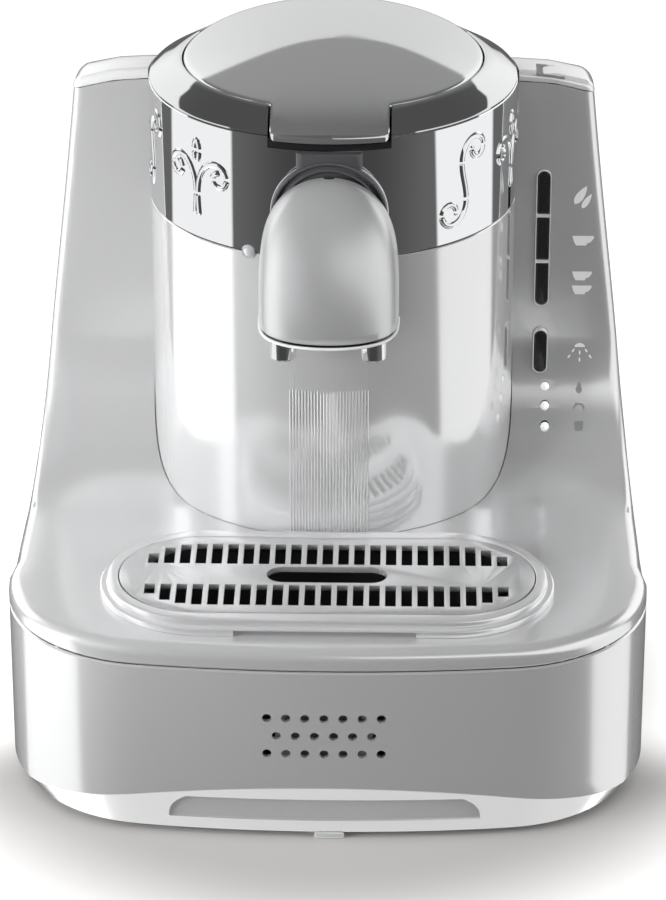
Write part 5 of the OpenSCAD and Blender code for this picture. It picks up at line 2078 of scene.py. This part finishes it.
@dataclass
class DripTank:
    """Drip tank with a stepped rim, and its slotted grate."""

    y: float = TRAY_Y
    rim: Point2 = (188.0, 87.0)
    step: Point2 = (182.0, 81.0)
    pocket: Point2 = (173.0, 68.0)
    well: Point2 = (158.0, 61.0)
    wall: float = 2.0
    low_z: float = 36.0
    grate: Point2 = (172.0, 67.0)
    pitch: float = 6.6
    slot_w: float = 4.4
    slot_reach: Point2 = (9.2, 27.2)
    slot_columns: int = 11
    margin: float = 9.0
    finger_hole: Point2 = (50.0, 14.0)

    def at(self, size: Point2, z: float, inset: float = 0.0) -> list[Point]:
        """Ring with round ends at height z."""
        return [(x, y, z) for x, y in capsule(size[0] - 2 * inset, size[1] - 2 * inset, 28, 0.0, self.y)]

    def tank(self) -> bpy.types.Object:
        """Container and rim in one skin, closed all round.

        Returns:
            The tank.
        """
        low, wall = self.low_z, self.wall
        stages = (
            (self.well, ((low, 3.0), (low + 3.0, 0.3), (60.0, 0.0), (90.0, 0.0))),
            (self.rim, ((90.0, 0.3), (90.4, 0.0), (92.3, 0.0), (92.8, 0.2), (93.1, 0.7))),
            (self.step, ((93.2, -0.3), (93.6, 0.0), (95.1, 0.0), (95.7, 0.25), (96.0, 0.9))),
            (self.pocket, ((96.0, -0.4), (95.7, 0.0), (93.5, 0.0))),
            (self.well, ((93.5, wall), (42.0, wall), (low + wall, 5.0))),
        )
        tank = loft("tray", [self.at(size, z, inset) for size, steps in stages for z, inset in steps])
        Paint.HOUSING.on(tank)
        # Second slot: the near-black finish, painted shade for the inside of the tank.
        tank.data.materials.append(Paint.WELL.value.material())
        width, depth = self.pocket
        # Faces on the pocket's floor and inner walls take the painted shade.
        for face in tank.data.polygons:
            spot = face.center / MM
            past, across = max(0.0, abs(spot.x) - (width - depth) / 2), spot.y - self.y
            if math.hypot(past, across) < depth / 2 - 0.1 and low + 1.0 < spot.z < 93.8:
                inner_wall = spot.z > 41.0 and face.normal.y * across < 0
                face.material_index = int(face.normal.z > 0.5 or inner_wall)
        return cut(tank, block("finger", (-37.0, self.y - 50.0, 88.0), (37.0, self.y - 38.5, 92.6)))

    def slots(self) -> list[bpy.types.Object]:
        """Tools for two rows of slots that shorten towards the ends, and for the finger hole.

        Returns:
            The tools.
        """
        tools = []
        inner, outer = self.slot_reach
        bend = (self.grate[0] - self.margin) / 2 - outer
        for i in range(-self.slot_columns, self.slot_columns + 1):
            x = i * self.pitch
            past = max(0.0, abs(x) + self.slot_w / 2 - bend)
            reach = math.sqrt(max(0.0, outer ** 2 - past ** 2))
            if reach - inner < self.slot_w + 0.4:
                continue
            for s in (-1, 1):
                w, d, mid = self.slot_w / 2, (reach - inner) / 2, self.y + s * (inner + reach) / 2
                outline = [(x - w, mid - d), (x + w, mid - d), (x + w, mid + d), (x - w, mid + d)]
                tools.append(extruded("slot", outline, 90.0, 99.0, upright))
        hole = capsule(*self.finger_hole, 16, 0.0, self.y)
        tools.append(extruded("finger_hole", hole, 90.0, 99.0, upright))
        return tools

    def build(self) -> None:
        """Builds and hands over the tank and the grate."""
        hand_over(self.tank(), Paint.HOUSING, "drip_tank", "tray_silver", "drip_tank", angle=28.0)
        grate = extruded("grate", capsule(*self.grate, 28, 0.0, self.y), 93.5, 96.0, upright)
        cut(grate, join("slots", self.slots()))
        round_edges(grate, 0.35, 2, 60.0)
        hand_over(grate, Paint.SATIN, "drip_grate", "grate_silver", "drip_grate")


@dataclass(frozen=True)
class Inside:
    """Finishes of the frame's own nodes, which keep their shape."""

    wear: tuple[tuple[Paint, str], ...] = (
        (Paint.PAN, "base_pan"),
        (Paint.RUBBER, "rubber_feet cable_gland pot_gasket pump_mounts"),
        (Paint.PLASTIC, "brew_housing lid_liner inner_bulkhead outlet_valve outlet_nipple spout_manifold"),
        (Paint.PLASTIC, "valve_seat tank_stub water_pump speaker tact_switches"),
        (Paint.STEEL, "brew_pot lid_hinge_pin base_screws cover_screws board_screws cover_pins"),
        (Paint.DARK_STEEL, "heater_plate heating_element thermostat speaker_bracket"),
        (Paint.CERAMIC, "temperature_sensor"),
        (Paint.TANK, "water_tank"),
        (Paint.HOSE, "feed_hose riser_hose"),
        (Paint.BOARD, "power_board button_board"),
    )

    def build(self, nodes: dict[str, bpy.types.Object]) -> None:
        """Dresses the nodes that stay.

        Args:
            nodes: The frame's nodes by name.
        """
        for finish, names in self.wear:
            for name in names.split():
                finish.on(nodes[name])
                LOG.info("%s: wears %s", name, finish.value.name)


# ---------------------------------------------------------------- studio


@dataclass(frozen=True)
class Studio:
    """Camera, pale floor and soft light."""

    eye: Point = (0.0329467, -1.5448895, 0.8519443)
    aim: Point = (-0.000103, 0.030, 0.0935529)
    lens: float = 158.27
    shadow: Point2 = (0.133, 0.15)
    ambient: float = 0.33
    middle: Point = (0.0, 0.0, 0.12)

    def camera(self) -> None:
        """Camera at the height and distance of a tabletop shot."""
        bpy.ops.object.camera_add(location=self.eye)
        camera = bpy.context.object
        camera.rotation_euler = (Vector(self.aim) - Vector(self.eye)).to_track_quat("-Z", "Y").to_euler()
        camera.data.lens = self.lens
        camera.data.sensor_width = 36.0
        camera.data.clip_end = 50.0
        bpy.context.scene.camera = camera

    def floor(self) -> None:
        """Pale floor that keeps the shadow and fades into the backdrop; near the base its lift to white is
        left out, which paints a dark halo on top of the real shadow.
        """
        bpy.ops.object.select_all(action="DESELECT")
        bpy.ops.mesh.primitive_plane_add(size=12.0)
        floor = new_primitive("floor")
        material = bpy.data.materials.new("pale_floor")
        material.use_nodes = True
        sheet = NodeSheet(material.node_tree)
        x, y, _ = sheet.axes("Object")
        x, y = x * (1.0 / self.shadow[0]), y * (1.0 / self.shadow[1])
        # Stretched distance from the base's footprint; the camera-only emission fades in with it, so the dark
        # ring round the base is partly painted shadow.
        away = sheet.maths("SQRT", x * x + y * y) + y.over(-0.7, -0.3) * 0.5
        seen = sheet.add("ShaderNodeLightPath", out="Is Camera Ray")
        tint = sheet.blend(sheet.noise(3.0, 2.0), (0.50, 0.49, 0.48), (0.53, 0.52, 0.51))
        plain = sheet.add("ShaderNodeBsdfDiffuse", inputs={"Color": tint, "Roughness": 0.5})
        lift = sheet.add("ShaderNodeEmission", inputs={
            "Color": WHITE, "Strength": seen * away.over(1.12, 1.75) * 0.8})
        both = sheet.add("ShaderNodeAddShader", inputs={0: plain, 1: lift})
        sheet.add("ShaderNodeOutputMaterial", inputs={"Surface": both})
        floor.data.materials.append(material)
        floor.visible_glossy = False

    def room(self, sheet: NodeSheet) -> Sig:
        """Brightness of the room in reflections, by direction.

        Two tall panels stand beside the object and a low bright wall behind it, and the rest is dark.
        Turn is measured from the front either way round, and rise from level, both in degrees.

        Args:
            sheet: The world's sheet.

        Returns:
            The brightness.
        """
        x, y, z = sheet.axes("Generated")
        degrees = 180.0 / math.pi
        flat = sheet.maths("SQRT", x * x + y * y)
        turn = sheet.maths("ARCTAN2", sheet.maths("ABSOLUTE", x), y * -1.0) * degrees
        rise = sheet.maths("ARCTAN2", z, flat) * degrees
        drop = -22.0 - rise
        low = x.over(-0.02, 0.02) * (4.0 + drop * 1.6) + 64.5
        high = drop * 0.9 + 121.0
        panels = (turn - low).over(-1.0, 1.5) * (high - turn).over(-1.0, 2.5)
        past = (180.0 - turn) * (1.0 / 26.0)
        edge = past * past / (past * past + 0.145) * 15.5 + 19.4
        behind = turn.over(95.0, 115.0) * rise.over(-3.0, 0.0) * (edge - rise).over(-0.6, 0.6)
        below = rise.over(-43.0, -52.0) * 0.8
        above = turn.over(150.0, 164.0) * rise.over(-5.0, 10.0) * rise.over(75.0, 35.0) * 0.2
        front = 0.06 - rise.over(20.0, 50.0) * 0.035 + turn.over(20.0, 70.0) * 0.08 + above + below
        return (front + panels * (0.88 - rise.over(20.0, 45.0) * 0.85)
                + behind * (1.1 - turn.over(150.0, 178.0) * 0.62))

    def surroundings(self) -> None:
        """World: white to the camera, plain to matt surfaces, and the room to glossy ones."""
        world = bpy.data.worlds.new("studio")
        bpy.context.scene.world = world
        world.use_nodes = True
        sheet = NodeSheet(world.node_tree)
        glossy, camera, through = (sheet.add("ShaderNodeLightPath", out=f"Is {kind} Ray")
                                   for kind in ("Glossy", "Camera", "Transmission"))
        white = camera + through
        strength = white + (1.0 - white) * (glossy * self.room(sheet) + (1.0 - glossy) * self.ambient)
        lit = sheet.add("ShaderNodeBackground", inputs={"Color": WHITE, "Strength": strength})
        sheet.add("ShaderNodeOutputWorld", inputs={"Surface": lit})

    @staticmethod
    def lamp(name: str, place: Point, aim: Point, size: float, power: float, beam: float) -> None:
        """One square soft light, left out of reflections.

        Args:
            name: The light's name.
            place: Its place in metres.
            aim: The point that it looks at.
            size: Its side in metres.
            power: Its power in watts.
            beam: How wide it shines, in degrees.
        """
        bpy.ops.object.light_add(type="AREA", location=place)
        lamp = bpy.context.object
        lamp.name = name
        lamp.data.size = size
        lamp.data.energy = power
        lamp.data.spread = math.radians(beam)
        lamp.rotation_euler = (Vector(aim) - Vector(place)).to_track_quat("-Z", "Y").to_euler()
        lamp.visible_glossy = False

    def build(self) -> None:
        """Sets up the floor and the light; the camera is made first of all."""
        self.floor()
        self.surroundings()
        for name, place, aim, size, power, beam in (
            ("top_light", (-0.05, -0.40, 0.95), self.middle, 0.6, 2.0, 160.0),
            ("front_light", (-0.95, -0.85, 0.42), (-0.02, 0.0, 0.14), 0.7, 0.6, 60.0),
            ("tower_light", (-0.42, -0.42, 0.28), (-0.10, 0.03, 0.19), 0.15, 0.34, 60.0),
            ("left_light", (-1.3, -0.4, 0.5), self.middle, 0.9, 2.4, 60.0),
            ("right_light", (1.3, -0.3, 0.5), self.middle, 0.9, 1.8, 60.0),
        ):
            self.lamp(name, place, aim, size, power, beam)
        bpy.context.scene.view_settings.view_transform = "Standard"


def main() -> None:
    """Builds the machine around its frame, piece by piece."""
    logging.basicConfig(level=logging.INFO, format="%(message)s")
    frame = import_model()
    studio = Studio()
    studio.camera()
    panel = Panel()
    Base().build()
    UpperBody().build(panel)
    TankCover().build()
    panel.build()
    Column().build()
    Lid().build()
    Spout().build()
    DripTank().build()
    Inside().build(frame["nodes"])
    studio.build()


if __name__ == "__main__":
    main()
